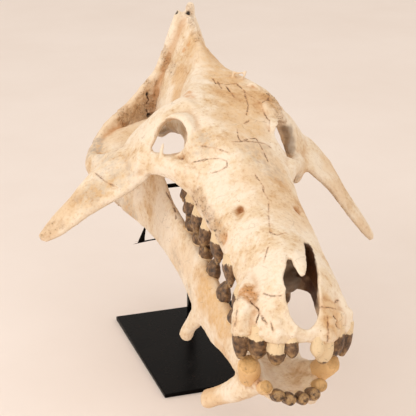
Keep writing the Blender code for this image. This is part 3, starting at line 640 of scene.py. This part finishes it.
@dataclass
class ToothRow:
    """All teeth of one bone, with those lost and those with more or less bare root on a side.

    lumps and ribs are the heights of the crowns' relief, in metres.
    """

    axis: Axis
    teeth: dict[str, Tooth]
    lost: set[tuple[str, int]]
    bared: dict[tuple[str, int], float] = field(default_factory=dict)
    voxel: float = 0.0009
    smoothing: int = 3
    lumps: float = 0.0005
    ribs: float = 0.0003

    LUMP_CELLS = 150.0  # per metre
    RIB_CELLS = 420.0  # per metre
    RIB_RUN = np.array([1.0, 1.0, 0.35])  # ribs are drawn out along the crown

    def standing(self, side: int) -> list[tuple[Tooth, float]]:
        """Returns the teeth that are left on a side, each with its share of bare root."""
        names = [name for name in self.teeth if (name, side) not in self.lost]
        return [(self.teeth[n], self.bared.get((n, side), self.teeth[n].bare)) for n in names]

    def build(self, finish: bpy.types.Material) -> None:
        """Makes one piece for each side.

        Args:
            finish: the enamel.
        """
        for side, word in ((-1, "right"), (1, "left")):
            bm = bmesh.new()
            for tooth, _ in self.standing(side):
                tooth.add_to(bm, side, self.axis)
            bmesh.ops.holes_fill(bm, edges=[e for e in bm.edges if e.is_boundary], sides=0)
            bmesh.ops.recalc_face_normals(bm, faces=bm.faces)
            obj = link(f"{self.axis.value}_teeth_{word}", bm, finish)
            remesh(obj, self.voxel, self.smoothing)
            self.wear(obj, side)
            obj.data.shade_smooth()
            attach(obj, "root")
            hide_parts(self.axis.value)
            LOG.info("%s: %d faces", obj.name, len(obj.data.polygons))

    def wear(self, obj: bpy.types.Object, side: int) -> None:
        """Roughens the crowns and leaves the masks of root, wear and stain.

        Args:
            obj: the row of one side, changed in place.
            side: 1 for the skull's left, -1 for its right.
        """
        mesh = obj.data
        points = read_points(mesh)
        normals = read_points(mesh, "normal")
        masks = {key: np.zeros(len(points)) for key in TOOTH_MASKS}
        best = np.full(len(points), FAR)
        for tooth, bare in self.standing(side):
            own = tooth.local(points, side, self.axis)
            gap = np.hypot(own[:, 0], own[:, 1])
            here = gap < best
            best = np.where(here, gap, best)
            up = own[:, 2]
            worn = (up - 0.72) / 0.2  # from 0.72 of the height to 0.92
            for key, value in (("bare", 0.5 + (bare - up) * 3.0), ("worn", worn), ("orange", tooth.orange)):
                masks[key] = np.where(here, np.clip(value, 0, 1), masks[key])
        lift = self.lumps * rough_noise(points, self.LUMP_CELLS)
        lift += self.ribs * rough_noise(points * self.RIB_RUN, self.RIB_CELLS)
        mesh.vertices.foreach_set("co", (points + normals * lift[:, None]).ravel())
        for key, values in masks.items():
            write_mask(mesh, key, values)


UPPER = ToothRow(Axis.CRANIUM, {
    "incisor_1": Tooth(Form.INCISOR, (960, 26, -10), (972, 24, -38), 10, 12, 0.1),
    "incisor_2": Tooth(Form.INCISOR, (946, 47, -14), (953, 46, -62), 16, 17, 0.5),
    "incisor_3": Tooth(Form.INCISOR, (924, 76, -12), (930, 75, -60), 17, 18, 0.2),
    "canine": Tooth(Form.CANINE, (904, 103, -18), (914, 101, -68), 18, 16, 0.1),
    "premolar_1": Tooth(Form.PREMOLAR, (798, 76, 10), (788, 80, -44), 15, 10),
    "premolar_2": Tooth(Form.PREMOLAR, (722, 75, 40), (740, 75, -6), 25, 14),
    "premolar_3": Tooth(Form.PREMOLAR, (640, 76, 52), (654, 76, 4), 25, 15),
    "premolar_4": Tooth(Form.MOLAR, (576, 77, 56), (578, 78, 14), 18, 18),
    "molar_1": Tooth(Form.MOLAR, (518, 77, 62), (518, 78, 22), 22, 20),
    "molar_2": Tooth(Form.MOLAR, (460, 75, 68), (460, 77, 30), 23, 22),
    "molar_3": Tooth(Form.MOLAR, (408, 70, 76), (406, 74, 42), 19, 19),
}, {("premolar_1", 1)}, {("incisor_1", 1): 1.3, ("incisor_2", 1): 0.9, ("incisor_3", 1): 0.05})

LOWER = ToothRow(Axis.JAW, {
    "incisor_1": Tooth(Form.STUMP, (962, 13, -44), (990, 13, -30), 11, 10),
    "incisor_2": Tooth(Form.STUMP, (958, 34, -40), (984, 36, -24), 11, 11),
    "incisor_3": Tooth(Form.STUMP, (944, 53, -34), (962, 56, -18), 12, 12, 0.9, 0.6),
    "canine": Tooth(Form.STUMP, (904, 70, -28), (926, 86, 12), 21, 20, 0.9, 0.75),
    "premolar_1": Tooth(Form.PREMOLAR, (836, 64, -12), (840, 64, 14), 13, 9),
    "premolar_2": Tooth(Form.PREMOLAR, (762, 64, -4), (766, 64, 30), 20, 11),
    "premolar_3": Tooth(Form.PREMOLAR, (684, 64, 2), (690, 64, 44), 23, 13),
    "premolar_4": Tooth(Form.PREMOLAR, (606, 64, 10), (608, 64, 50), 21, 13),
    "molar_1": Tooth(Form.MOLAR, (548, 65, 20), (549, 65, 48), 19, 14),
    "molar_2": Tooth(Form.MOLAR, (498, 66, 24), (499, 66, 50), 20, 15),
    "molar_3": Tooth(Form.MOLAR, (444, 68, 28), (445, 68, 54), 22, 15),
}, {("premolar_1", 1), ("premolar_2", 1)}, {("incisor_3", 1): 0.1})


@dataclass(frozen=True)
class Patch:
    """A worn, stained or dented place, or a patch of painted shade: balls round points.

    The points and the balls' reach are in thousandths of the skull's length. mask is one of
    BONE_MASKS, or empty for a change of shape alone. push moves the surface outward, in metres.
    Where faces is given, only the side of a thin wall that looks that way is taken.
    """

    mask: str
    points: tuple[Point, ...]
    reach: int
    amount: float = 1.0
    push: float = 0.0
    faces: Point | None = None

    RIM = 1.2  # where the patch ends, in reaches
    SOFT = 0.5  # how wide its border is, in reaches

    def near(self, places: np.ndarray, normals: np.ndarray, ragged: np.ndarray) -> np.ndarray:
        """Returns 0 outside the patch to its amount inside, with a ragged border.

        Args:
            places: the vertices in shares of the skull's length.
            normals: their normals in the same frame.
            ragged: noise that frays the border.

        Returns:
            One value for each vertex.
        """
        distance = np.full(len(places), FAR)
        for point in self.points:
            away = np.linalg.norm(places - np.array(shares(point)), axis=1) / (self.reach / 1000)
            distance = np.minimum(distance, away)
        here = np.clip((self.RIM - distance - ragged) / self.SOFT, 0, 1) * self.amount
        if self.faces is not None:
            here *= np.clip(0.5 + 3.0 * (normals @ np.array(self.faces)), 0, 1)
        return here


@dataclass(frozen=True)
class Crack:
    """A crack along points of the surface, in thousandths of the skull's length.

    width is 0.1 for a hairline to 2 for an open crack. depth is how far it is cut in and fall
    how far its mask reaches on each side, both in metres.
    """

    points: tuple[Point, ...]
    width: float = 1.0
    depth: float = 0.0003
    fall: float = 0.004

    MARGIN = 0.03  # in shares: vertices farther than this past the points are left out
    THICK = 0.02  # in shares: a surface farther than this beneath the points isn't cracked

    def near(self, places: np.ndarray, normals: np.ndarray, wander: np.ndarray) -> np.ndarray:
        """Measures how near to the crack each vertex lies.

        Args:
            places: the vertices in shares of the skull's length.
            normals: their normals in the same frame.
            wander: noise by which the crack strays, in metres.

        Returns:
            0 where the mask ends, rising to 0.9 in the middle of a hairline and 1 in a wide crack.
        """
        best = np.full(len(places), FAR)
        ends = np.array([shares(point) for point in self.points])
        extent = np.ptp(ends, axis=0).max() + self.MARGIN
        close = np.linalg.norm(places - ends.mean(axis=0), axis=1) < extent
        own = places[close]
        turn = normals[close]
        nearest = np.full(len(own), FAR)
        for start, end in zip(ends, ends[1:]):
            step = end - start
            along = np.clip(((own - start) @ step) / (step @ step), 0, 1)
            gap = own - (start + along[:, None] * step)
            depth = (gap * turn).sum(axis=1)
            across = np.linalg.norm(gap - turn * depth[:, None], axis=1)
            nearest = np.minimum(nearest, np.where(np.abs(depth) < self.THICK, across, FAR))
        best[close] = nearest
        away = np.abs(best * SKULL.length + wander)
        return np.clip(1.0 - away / self.fall, 0, 1) * (0.89 + 0.07 * self.width)


@dataclass(frozen=True)
class Sliver:
    """A small spur or flake of broken bone: a tapered tube through points in thousandths.

    thick is its half thickness at the root, in metres.
    """

    points: tuple[Point, ...]
    thick: float = 0.0032

    STEPS = 4  # eggs between two points
    TAPER = 0.45  # share of the thickness that is lost at the tip

    def add_to(self, bm: bmesh.types.BMesh, axis: Axis) -> None:
        """Adds the spur to a bmesh as a chain of overlapping eggs.

        Args:
            bm: the bone before it is made into one skin.
            axis: the bone that carries it.
        """
        ends = [axis.at(point) for point in self.points]
        spine = []
        for start, end in zip(ends, ends[1:]):
            spine += [start.lerp(end, k / self.STEPS) for k in range(self.STEPS)]
        for k, middle in enumerate(spine + [ends[-1]]):
            size = self.thick * (1.0 - self.TAPER * k / len(spine))
            shape = Matrix.Translation(middle) @ Matrix.Diagonal((size, size * 0.8, size, 1))
            bmesh.ops.create_icosphere(bm, subdivisions=2, radius=1.0, matrix=shape)


@dataclass
class Bone:
    """One bone: a fine copy of its CAD node, weathered.

    broad, fine and grit are the heights of its relief in metres, of about 33, 8 and 3 mm
    across. stub_foot and stub_height are shares of a tooth's height. The last three fields say
    how far a vertex lies off its surroundings, in metres, where its mask is full.
    """

    axis: Axis
    voxel: float
    triangles: int
    teeth: ToothRow
    patches: list[Patch]
    cracks: list[Crack]
    slivers: list[Sliver]
    smoothing: int = 6
    broad: float = 0.0006
    fine: float = 0.00050
    grit: float = 0.00022
    stub_foot: float = 0.06
    stub_height: float = 0.66
    hollow_depth: float = 0.0013
    ridge_height: float = 0.0016
    deep_depth: float = 0.0040

    CELLS = (30.0, 120.0, 360.0)  # of the broad, fine and gritty noise, per metre
    STUB_REACH = 1.22  # vertices this near a tooth's axis belong to its stub, in half sizes
    STUB_TOP = 1.5  # and this high, in heights
    ROUNDS = 60  # rounds of averaging that show the large hollows
    FEW_ROUNDS = 16  # rounds that show the small ones

    def build(self, finish: bpy.types.Material) -> None:
        """Makes the bone, the piece that stands for its CAD node.

        Args:
            finish: its material.
        """
        bm = bmesh.new()
        bm.from_mesh(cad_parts[self.axis.value].data)
        bmesh.ops.remove_doubles(bm, verts=bm.verts, dist=WELD_GAP)
        for sliver in self.slivers:
            sliver.add_to(bm, self.axis)
        obj = link(self.axis.value + "_bone", bm, finish)
        remesh(obj, self.voxel, self.smoothing)
        self.weather(obj)
        thin = obj.modifiers.new("thin", "DECIMATE")
        thin.ratio = min(1.0, self.triangles / (2 * len(obj.data.polygons)))
        thin.vertex_group = "keep"
        thin.invert_vertex_group = True
        thin.vertex_group_factor = 0.2
        apply_modifiers(obj)
        obj.data.shade_smooth()
        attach(obj, "root")
        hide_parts(self.axis.value)
        LOG.info("%s: %d triangles", obj.name, len(obj.data.polygons))

    def weather(self, obj: bpy.types.Object) -> None:
        """Moves the vertices for wear, and leaves the masks that the finish reads.

        Args:
            obj: the fine copy, changed in place.
        """
        mesh = obj.data
        points = read_points(mesh)
        normals = read_points(mesh, "normal")
        back = self.axis.matrix().inverted()
        own = turned(points, back) / SKULL.length
        turn = normals @ np.array(back)[:3, :3].T
        places = np.stack([-own[:, 1], own[:, 0], own[:, 2]], axis=1)
        facing = np.stack([-turn[:, 1], turn[:, 0], turn[:, 2]], axis=1)
        broad, fine, grit = (rough_noise(points, cells) for cells in self.CELLS)
        masks = {key: np.zeros(len(points)) for key in BONE_MASKS}
        lift = self.broad * broad + self.fine * fine + self.grit * grit
        for patch in self.patches:
            here = patch.near(places, facing, 0.30 * fine + 0.20 * broad)
            if patch.mask:
                masks[patch.mask] = np.maximum(masks[patch.mask], here)
            lift += here * patch.push
        for crack in self.cracks:
            here = crack.near(places, facing, 0.0014 * fine + 0.0006 * grit)
            masks["crack"] = np.maximum(masks["crack"], here)
            lift -= np.clip(here * 2.0 - 1.0, 0, 1) * crack.depth
        self.curve(mesh, points, normals, masks)
        # crumbled places: lumps of 2 mm and grit of 1.6 mm, a little sunk
        lift += masks["rough"] * (0.0020 * fine + 0.0016 * grit - 0.0004)
        points = self.clear_crowns(points + normals * lift[:, None])
        mesh.vertices.foreach_set("co", points.ravel())
        for key, values in masks.items():
            write_mask(mesh, key, values)
        # the mesh stays finest along cracks and in crumbled places
        keep = np.clip(np.maximum(masks["crack"] * 1.6, masks["rough"] * 0.7), 0, 1)
        group = obj.vertex_groups.new(name="keep")
        levels = 5
        for level in range(1, levels + 1):
            chosen = np.nonzero(np.round(keep * levels) == level)[0]
            group.add(chosen.tolist(), level / levels, "REPLACE")

    def clear_crowns(self, points: np.ndarray) -> np.ndarray:
        """Draws the bone's own tooth stubs in, so that the enamel pieces cover them.

        Args:
            points: the vertices.

        Returns:
            The vertices with the stubs made thinner and shorter.
        """
        moved = points.copy()
        for side in (-1, 1):
            for tooth, _ in self.teeth.standing(side):
                local = tooth.local(moved, side, self.axis)
                inside = np.hypot(local[:, 0], local[:, 1]) < self.STUB_REACH
                inside &= (local[:, 2] > self.stub_foot) & (local[:, 2] < self.STUB_TOP)
                drawn = local[inside]
                # 0.8 of the width near the neck, down to about a quarter at the tip
                slim = np.clip(0.80 - 0.62 * np.clip(drawn[:, 2] - 0.15, 0, 1), 0.15, 0.8)
                drawn[:, :2] *= slim[:, None]
                drawn[:, 2] = self.stub_foot + (drawn[:, 2] - self.stub_foot) * self.stub_height
                moved[inside] = turned(drawn * np.array(tooth.sizes()), tooth.place(side, self.axis))
        return moved

    def curve(self, mesh: bpy.types.Mesh, points: np.ndarray, normals: np.ndarray,
              masks: dict[str, np.ndarray]) -> None:
        """Fills the masks of hollows, deep hollows and ridges from the curvature.

        Args:
            mesh: the mesh, for its edges.
            points: its vertices.
            normals: their normals.
            masks: the masks, changed in place.
        """
        edges = np.empty(len(mesh.edges) * 2, dtype=np.int64)
        mesh.edges.foreach_get("vertices", edges)
        a, b = edges.reshape(-1, 2).T
        ends = np.concatenate([a, b])
        others = np.concatenate([b, a])
        degree = np.bincount(ends, minlength=len(points))
        spread = points
        for count in range(1, self.ROUNDS + 1):
            total = [np.bincount(ends, spread[others, k], len(points)) for k in range(3)]
            spread = np.stack(total, axis=1) / degree[:, None]
            if count == self.FEW_ROUNDS:
                sunk = ((spread - points) * normals).sum(axis=1)
                masks["hollow"] = np.clip(sunk / self.hollow_depth, 0, 1)
                masks["ridge"] = np.clip(-sunk / self.ridge_height, 0, 1)
        sunk = ((spread - points) * normals).sum(axis=1)
        masks["deep"] = np.clip(sunk / self.deep_depth, 0, 1)


@dataclass
class SteelStand:
    """The stand's four painted parts, with their edges broken, and a weld at the post's foot."""

    edge: float = 0.0007
    plate_top: float = 0.006
    post: tuple[float, float] = (0.003, 0.087)
    post_half: float = 0.00475
    bead: float = 0.0019
    bead_steps: int = 5

    SHARP_ANGLE = 0.9  # in radians: the edges of the flats, not the wires' facets
    SHORTEST = 0.004  # in metres: edges shorter than this stay as they are

    def build(self, finish: bpy.types.Material) -> None:
        """Makes a finer copy of each part.

        Args:
            finish: the paint.
        """
        for name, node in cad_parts.items():
            if not name.startswith("stand_"):
                continue
            bm = bmesh.new()
            bm.from_mesh(node.data)
            bmesh.ops.remove_doubles(bm, verts=bm.verts, dist=WELD_GAP)
            bmesh.ops.dissolve_limit(bm, angle_limit=math.radians(1.0), verts=bm.verts, edges=bm.edges)
            sharp = [e for e in bm.edges if len(e.link_faces) == 2
                     and e.calc_face_angle() > self.SHARP_ANGLE and e.calc_length() > self.SHORTEST]
            bmesh.ops.bevel(bm, geom=sharp, offset=self.edge, segments=3, profile=0.5,
                            affect="EDGES", material=-1)
            obj = link(name + "_painted", bm, finish)
            obj.data.set_sharp_from_angle(angle=math.radians(40))
            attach(obj, "root")
            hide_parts(name)
        self.weld(finish)

    def weld(self, finish: bpy.types.Material) -> None:
        """Lays a bead of weld round the foot of the post, as a ring of overlapping drops.

        Args:
            finish: the paint.
        """
        bm = bmesh.new()
        x, y = self.post
        half = self.post_half
        corners = [Vector((x + half * right, y + half * back, self.plate_top + 0.0003))
                   for right, back in ((-1, -1), (1, -1), (1, 1), (-1, 1))]
        for start, end in zip(corners, corners[1:] + corners[:1]):
            for k in range(self.bead_steps):
                place = Matrix.Translation(start.lerp(end, k / self.bead_steps))
                size = Matrix.Diagonal((self.bead, self.bead, 0.0016 + 0.0002 * (k % 2), 1))
                bmesh.ops.create_icosphere(bm, subdivisions=2, radius=1.0, matrix=place @ size)
        obj = link("weld_bead", bm, finish)
        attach(obj, "root")


@dataclass
class Studio:
    """A plain pale sweep, soft light and the camera.

    Each lamp has a name, a place, the side of its square face in metres, and its watts.
    """

    camera_at: Point = (-0.5436, -1.6375, 0.8651)
    looks_along: Point = (0.2951, 0.8875, -0.3538)
    focal_pixels: float = 1339
    photo_pixels: int = 416
    sensor_mm: float = 36.0
    ambient: float = 0.90
    sky: str = "FFF6EC"
    floor_half: float = 14.0
    aim: Point = (0.0, -0.1, 0.25)
    lamps: tuple[tuple[str, Point, float, float], ...] = (
        ("key", (-1.9, -0.9, 1.35), 1.6, 19.0),
        ("front", (0.3, -2.3, 1.5), 1.8, 9.0),
        ("top", (0.3, 0.6, 2.4), 1.6, 2.5),
    )

    def build(self) -> None:
        """Makes the floor, the lamps and the camera, and sets a plain view transform."""
        bpy.context.scene.view_settings.view_transform = "Standard"
        bm = bmesh.new()
        bmesh.ops.create_grid(bm, x_segments=1, y_segments=1, size=self.floor_half)
        link("floor", bm, PaperSweep().build("paper_sweep"))
        for lamp in self.lamps:
            self.light(*lamp)
        world = bpy.data.worlds.new("studio")
        world.use_nodes = True
        back = world.node_tree.nodes["Background"]
        back.inputs["Color"].default_value = linear(self.sky)
        back.inputs["Strength"].default_value = self.ambient
        bpy.context.scene.world = world
        camera = bpy.data.cameras.new("camera")
        camera.sensor_width = self.sensor_mm
        camera.lens = self.focal_pixels / self.photo_pixels * self.sensor_mm
        eye = bpy.data.objects.new("camera", camera)
        turn = Vector(self.looks_along).to_track_quat("-Z", "Y").to_matrix().to_4x4()
        eye.matrix_world = Matrix.Translation(Vector(self.camera_at)) @ turn
        bpy.context.scene.collection.objects.link(eye)
        bpy.context.scene.camera = eye

    def light(self, name: str, place: Point, size: float, watts: float) -> None:
        """Adds one soft light that faces the skull.

        Args:
            name: the light's name.
            place: where it stands, in metres.
            size: the side of its square face, in metres.
            watts: its power.
        """
        lamp = bpy.data.lights.new(name, "AREA")
        lamp.size = size
        lamp.energy = watts
        obj = bpy.data.objects.new(name, lamp)
        turn = (Vector(self.aim) - Vector(place)).to_track_quat("-Z", "Y").to_matrix().to_4x4()
        obj.matrix_world = Matrix.Translation(Vector(place)) @ turn
        bpy.context.scene.collection.objects.link(obj)


CRANIUM = Bone(Axis.CRANIUM, 0.0014, 194000, UPPER, [
    Patch("rough", ((10, -1, 374), (14, 2, 360), (36, -1, 351)), 11, 0.8),
    Patch("rough", ((56, -3, 342), (76, -5, 333), (100, -4, 326)), 10, 0.8),
    Patch("dark", ((10, -2, 362), (9, -31, 362)), 5, 1.0, -0.002),
    Patch("rust", ((85, -16, 306), (82, -23, 291)), 8, 0.8),
    Patch("rough", ((20, -56, 272), (25, -51, 261), (29, -43, 251)), 12, 0.8),
    Patch("rough", ((59, -43, 245), (81, -45, 237), (39, -50, 233)), 16, 0.7),
    Patch("tan", ((121, -42, 239), (151, -44, 229), (163, -51, 213)), 30, 0.8),
    Patch("rough", ((39, -94, 200), (43, -84, 194), (38, -71, 196)), 10, 0.9),
    Patch("rough", ((50, -93, 166), (44, -80, 155), (43, -74, 140)), 22, 1.0),
    Patch("rough", ((45, -82, 125), (83, -147, 121), (45, -110, 140)), 26, 0.8),
    Patch("dark", ((42, -78, 117), (49, -91, 171)), 6, 0.9, -0.001),
    Patch("tan", ((130, -225, 81), (104, -186, 110), (83, -147, 121)), 60, 0.5),
    Patch("tan", ((125, -133, 119), (146, -176, 100), (60, -110, 180)), 50, 0.4),
    Patch("grey", ((126, -228, 75), (165, -227, 74), (169, -239, 70)), 26, 1.0),
    Patch("rust", ((314, -77, 258), (337, -77, 258)), 11, 0.7),
    Patch("rust", ((874, -99, 50), (871, -90, 55), (886, -90, 46)), 15, 0.9),
    Patch("rough", ((880, -104, 44), (871, -90, 55), (892, -86, 46)), 13, 0.9),
    Patch("rough", ((554, -103, 110), (579, -98, 100), (604, -93, 89)), 22, 1.0),
    Patch("rough", ((638, -90, 81), (677, -86, 76), (536, -101, 92)), 20, 1.0),
    Patch("rough", ((593, -94, 88), (620, -91, 76), (654, -89, 78)), 20, 1.0),
    Patch("rust", ((691, -84, 77), (584, -92, 41)), 13, 0.8),
    Patch("dark", ((643, -92, 70), (602, -92, 75)), 6, 0.8, -0.001),
    Patch("", ((646, -42, 119), (653, -48, 116), (660, -50, 116)), 11, 0.2, 0.0022),
    Patch("", ((692, -55, 117), (714, -57, 109), (730, -61, 101)), 14, 0.35, -0.0036),
    Patch("", ((896, -112, 30), (904, -115, 10), (910, -118, -10)), 20, 1.0, 0.0030),
    Patch("", ((922, -88, 24), (924, -91, 6)), 12, 1.0, -0.0026),
    Patch("", ((944, -63, 18), (955, -61, 4)), 18, 1.0, 0.0024),
    Patch("", ((946, 43, 20), (961, 41, 0)), 16, 1.0, 0.0020),
    Patch("", ((934, 66, 27), (941, 69, 10)), 8, 1.0, -0.0030),
    Patch("grey", ((251, -239, 76), (343, -235, 99), (379, -224, 90)), 40, 0.45),
    Patch("grey", ((362, -246, 83), (377, -275, 54), (383, -296, 33)), 32, 0.5),
    # painted shadow and soil stain on the inner walls of the nose opening and round the orbits
    Patch("shadow_and_soil_inside", ((777, 61, 80), (801, 61, 76), (826, 58, 59)), 36, 1.0, 0.0, (0.0, -1.0, -0.2)),
    Patch("shadow_and_soil_inside", ((856, 52, 52), (820, 65, 20), (790, 50, 60)), 36, 1.0, 0.0, (0.0, -1.0, -0.2)),
    Patch("shadow_and_soil_inside", ((760, 40, 85), (780, 20, 70), (750, 20, 80)), 36, 0.8, 0.0, (0.3, 0.0, -1.0)),
    Patch("shadow_and_soil_inside", ((795, 28, 35), (807, 22, 19), (795, 49, 35)), 34, 0.75),
    Patch("shadow_and_soil_inside", ((155, -70, 128), (192, -66, 153), (236, -59, 161)), 36, 0.42),
    Patch("shadow_and_soil_inside", ((377, 141, 200), (383, 147, 179), (386, 147, 160)), 16, 0.55),
    Patch("rough", ((391, -378, -40), (390, -364, -27), (393, -356, -20)), 18, 0.6),
    Patch("tan", ((356, -322, 22), (369, -344, -1), (386, -371, -31)), 34, 0.6),
    Patch("rough", ((324, 114, 261), (345, 116, 256), (363, 116, 248)), 16, 0.9),
    Patch("rough", ((389, 118, 236), (394, 122, 229), (372, 112, 244)), 16, 0.9),
    # the tan patches on the left slopes of the crest, forehead and snout paint their shade as well as a tan
    # tone
    Patch("tan", ((380, 30, 240), (440, 20, 228), (320, 30, 262), (340, 70, 250)), 55, 0.8),
    Patch("tan", ((180, 30, 260), (140, 20, 280), (240, 30, 265), (100, 20, 300)), 50, 0.9),
    Patch("tan", ((420, -20, 235), (500, -10, 215), (600, 0, 172), (660, 20, 150)), 34, 0.5),
    Patch("tan", ((511, 38, 200), (539, 61, 177), (582, 59, 161)), 35, 0.6),
    Patch("grey", ((511, 38, 200), (530, 20, 195), (560, 45, 172)), 35, 0.5),
    Patch("tan", ((637, 65, 138), (661, 81, 116), (700, 50, 130)), 45, 0.45),
    Patch("tan", ((346, 271, 110), (392, 285, 67), (407, 350, -20)), 34, 0.5),
    Patch("grey", ((488, -87, 198), (470, -80, 205)), 26, 0.6),
    Patch("tan", ((940, 60, 20), (930, 60, 35), (950, 75, 0)), 30, 0.8),
    Patch("dark", ((939, 82, -14),), 7, 1.0, -0.002),
], [
    Crack(((252, -1, 275), (277, -1, 272)), 2.0, 0.0014),
    Crack(((266, 5, 273), (304, 5, 267))),
    Crack(((289, 19, 269), (312, 21, 265)), 2.0, 0.0014),
    Crack(((312, 21, 265), (344, 25, 258)), 0.4),
    Crack(((275, 48, 271), (307, 56, 265), (331, 52, 260), (367, 48, 251), (401, 34, 241))),
    Crack(((273, 4, 272), (282, 21, 271), (272, 49, 272)), 0.5),
    Crack(((319, 59, 263), (337, 73, 258), (363, 78, 254), (381, 77, 247), (413, 84, 232), (441, 75, 218))),
    Crack(((363, 78, 254), (338, 103, 257), (313, 112, 263))),
    Crack(((461, -5, 227), (492, -11, 219), (504, -7, 215), (488, 14, 216), (478, 34, 213),
           (510, 40, 199), (538, 44, 185))),
    Crack(((509, -30, 216), (504, -7, 215), (490, 33, 209), (486, 47, 206), (487, 67, 198)), 0.5),
    Crack(((434, 20, 231), (419, 35, 234)), 0.8),
    Crack(((502, -104, 167), (521, -77, 181), (533, -61, 187), (547, -49, 187), (556, -49, 179),
           (555, -64, 168), (547, -82, 158)), 0.6),
    Crack(((488, -87, 198), (514, -61, 202), (534, -44, 201)), 0.2),
    Crack(((589, 0, 176), (605, 4, 169), (622, 9, 162), (637, 6, 156), (656, 10, 148)), 0.9),
    Crack(((664, 9, 146), (702, -3, 134), (765, -20, 122)), 0.1),
    Crack(((765, -20, 122), (778, -10, 122), (767, 16, 122)), 0.7),
    Crack(((805, -36, 108), (825, -47, 95), (835, -52, 87)), 0.3),
    Crack(((894, -68, 55), (908, -58, 56), (917, -41, 61)), 0.6),
    Crack(((894, -92, 41), (912, -80, 31), (925, -86, 26), (926, -91, 1)), 2.0, 0.0014),
    Crack(((912, -80, 31), (934, -76, 20), (941, -70, 15)), 0.6),
    Crack(((896, -111, 27), (908, -115, 8), (910, -118, -12)), 0.6),
    Crack(((916, 57, 50), (913, 69, 42), (897, 83, 40))),
    Crack(((934, 68, 27), (941, 69, 15), (943, 75, 4)), 2.0, 0.0016),
    Crack(((946, 43, 28), (961, 41, 10), (965, 42, -9))),
    Crack(((931, 31, 42), (931, 46, 43), (922, 69, 34)), 0.6),
    Crack(((944, -63, 18), (955, -61, 6)), 0.5),
    Crack(((334, -268, 77), (371, -254, 72), (402, -232, 69)), 0.4),
    Crack(((42, -78, 117), (46, -86, 131)), 2.0, 0.0016),
    Crack(((49, -91, 171), (45, -83, 155), (47, -87, 146)), 2.0, 0.0014),
], [
    Sliver(((443, -157, 153), (438, -156, 167), (434, -153, 180)), 0.0040),
    Sliver(((245, 47, 276), (241, 49, 288), (246, 60, 287), (248, 74, 292)), 0.0026),
    Sliver(((248, 74, 292), (252, 71, 282), (251, 60, 273)), 0.0024),
    Sliver(((285, 75, 274), (288, 83, 276), (296, 94, 269)), 0.0026),
    Sliver(((965, -27, 3), (964, -22, 12), (961, -20, 21)), 0.0032),
])

MANDIBLE = Bone(Axis.JAW, 0.0013, 120000, LOWER, [
    Patch("rough", ((98, -150, -102), (105, -150, -112), (114, -140, -110)), 20, 0.9),
    Patch("grey", ((117, -144, -79), (145, -136, -91), (170, -130, -80)), 36, 0.7),
    Patch("grey", ((489, -95, -50), (451, -99, -35), (557, -92, -66)), 24, 0.5),
    Patch("tan", ((633, -85, -11), (694, -82, -9), (754, -78, -6)), 50, 1.0),
    Patch("tan", ((592, -87, 0), (513, -95, -11), (451, -99, -35)), 40, 0.4),
    Patch("rough", ((932, -80, -12), (926, -64, -28), (948, -63, -24)), 13, 0.8),
    Patch("rust", ((941, -62, -36), (926, -64, -28)), 12, 0.7),
    Patch("tan", ((800, -100, -120), (760, -85, -90), (830, -115, -140)), 40, 0.8),
    Patch("tan", ((824, -122, -142), (839, -115, -145), (853, -105, -133)), 28, 0.7),
], [
    Crack(((348, -91, 40), (375, -90, 35), (401, -94, 29)), 1.4),
    Crack(((320, -99, 51), (342, -92, 42), (363, -89, 36))),
    Crack(((933, -86, -9), (927, -65, -21), (933, -55, -26)), 1.6, 0.0014),
    Crack(((929, -70, -21), (933, -62, -30), (955, -61, -22)), 1.6, 0.0014),
], [])


def main() -> None:
    """Builds every piece."""
    logging.basicConfig(level=logging.INFO, format="%(name)s: %(message)s")
    bone = FossilBone().build("fossil_bone")
    enamel = FossilEnamel().build("fossil_enamel")
    CRANIUM.build(bone)
    MANDIBLE.build(bone)
    UPPER.build(enamel)
    LOWER.build(enamel)
    SteelStand().build(BlackEnamelPaint().build("black_enamel_paint"))
    Studio().build()


if __name__ == "__main__":
    main()
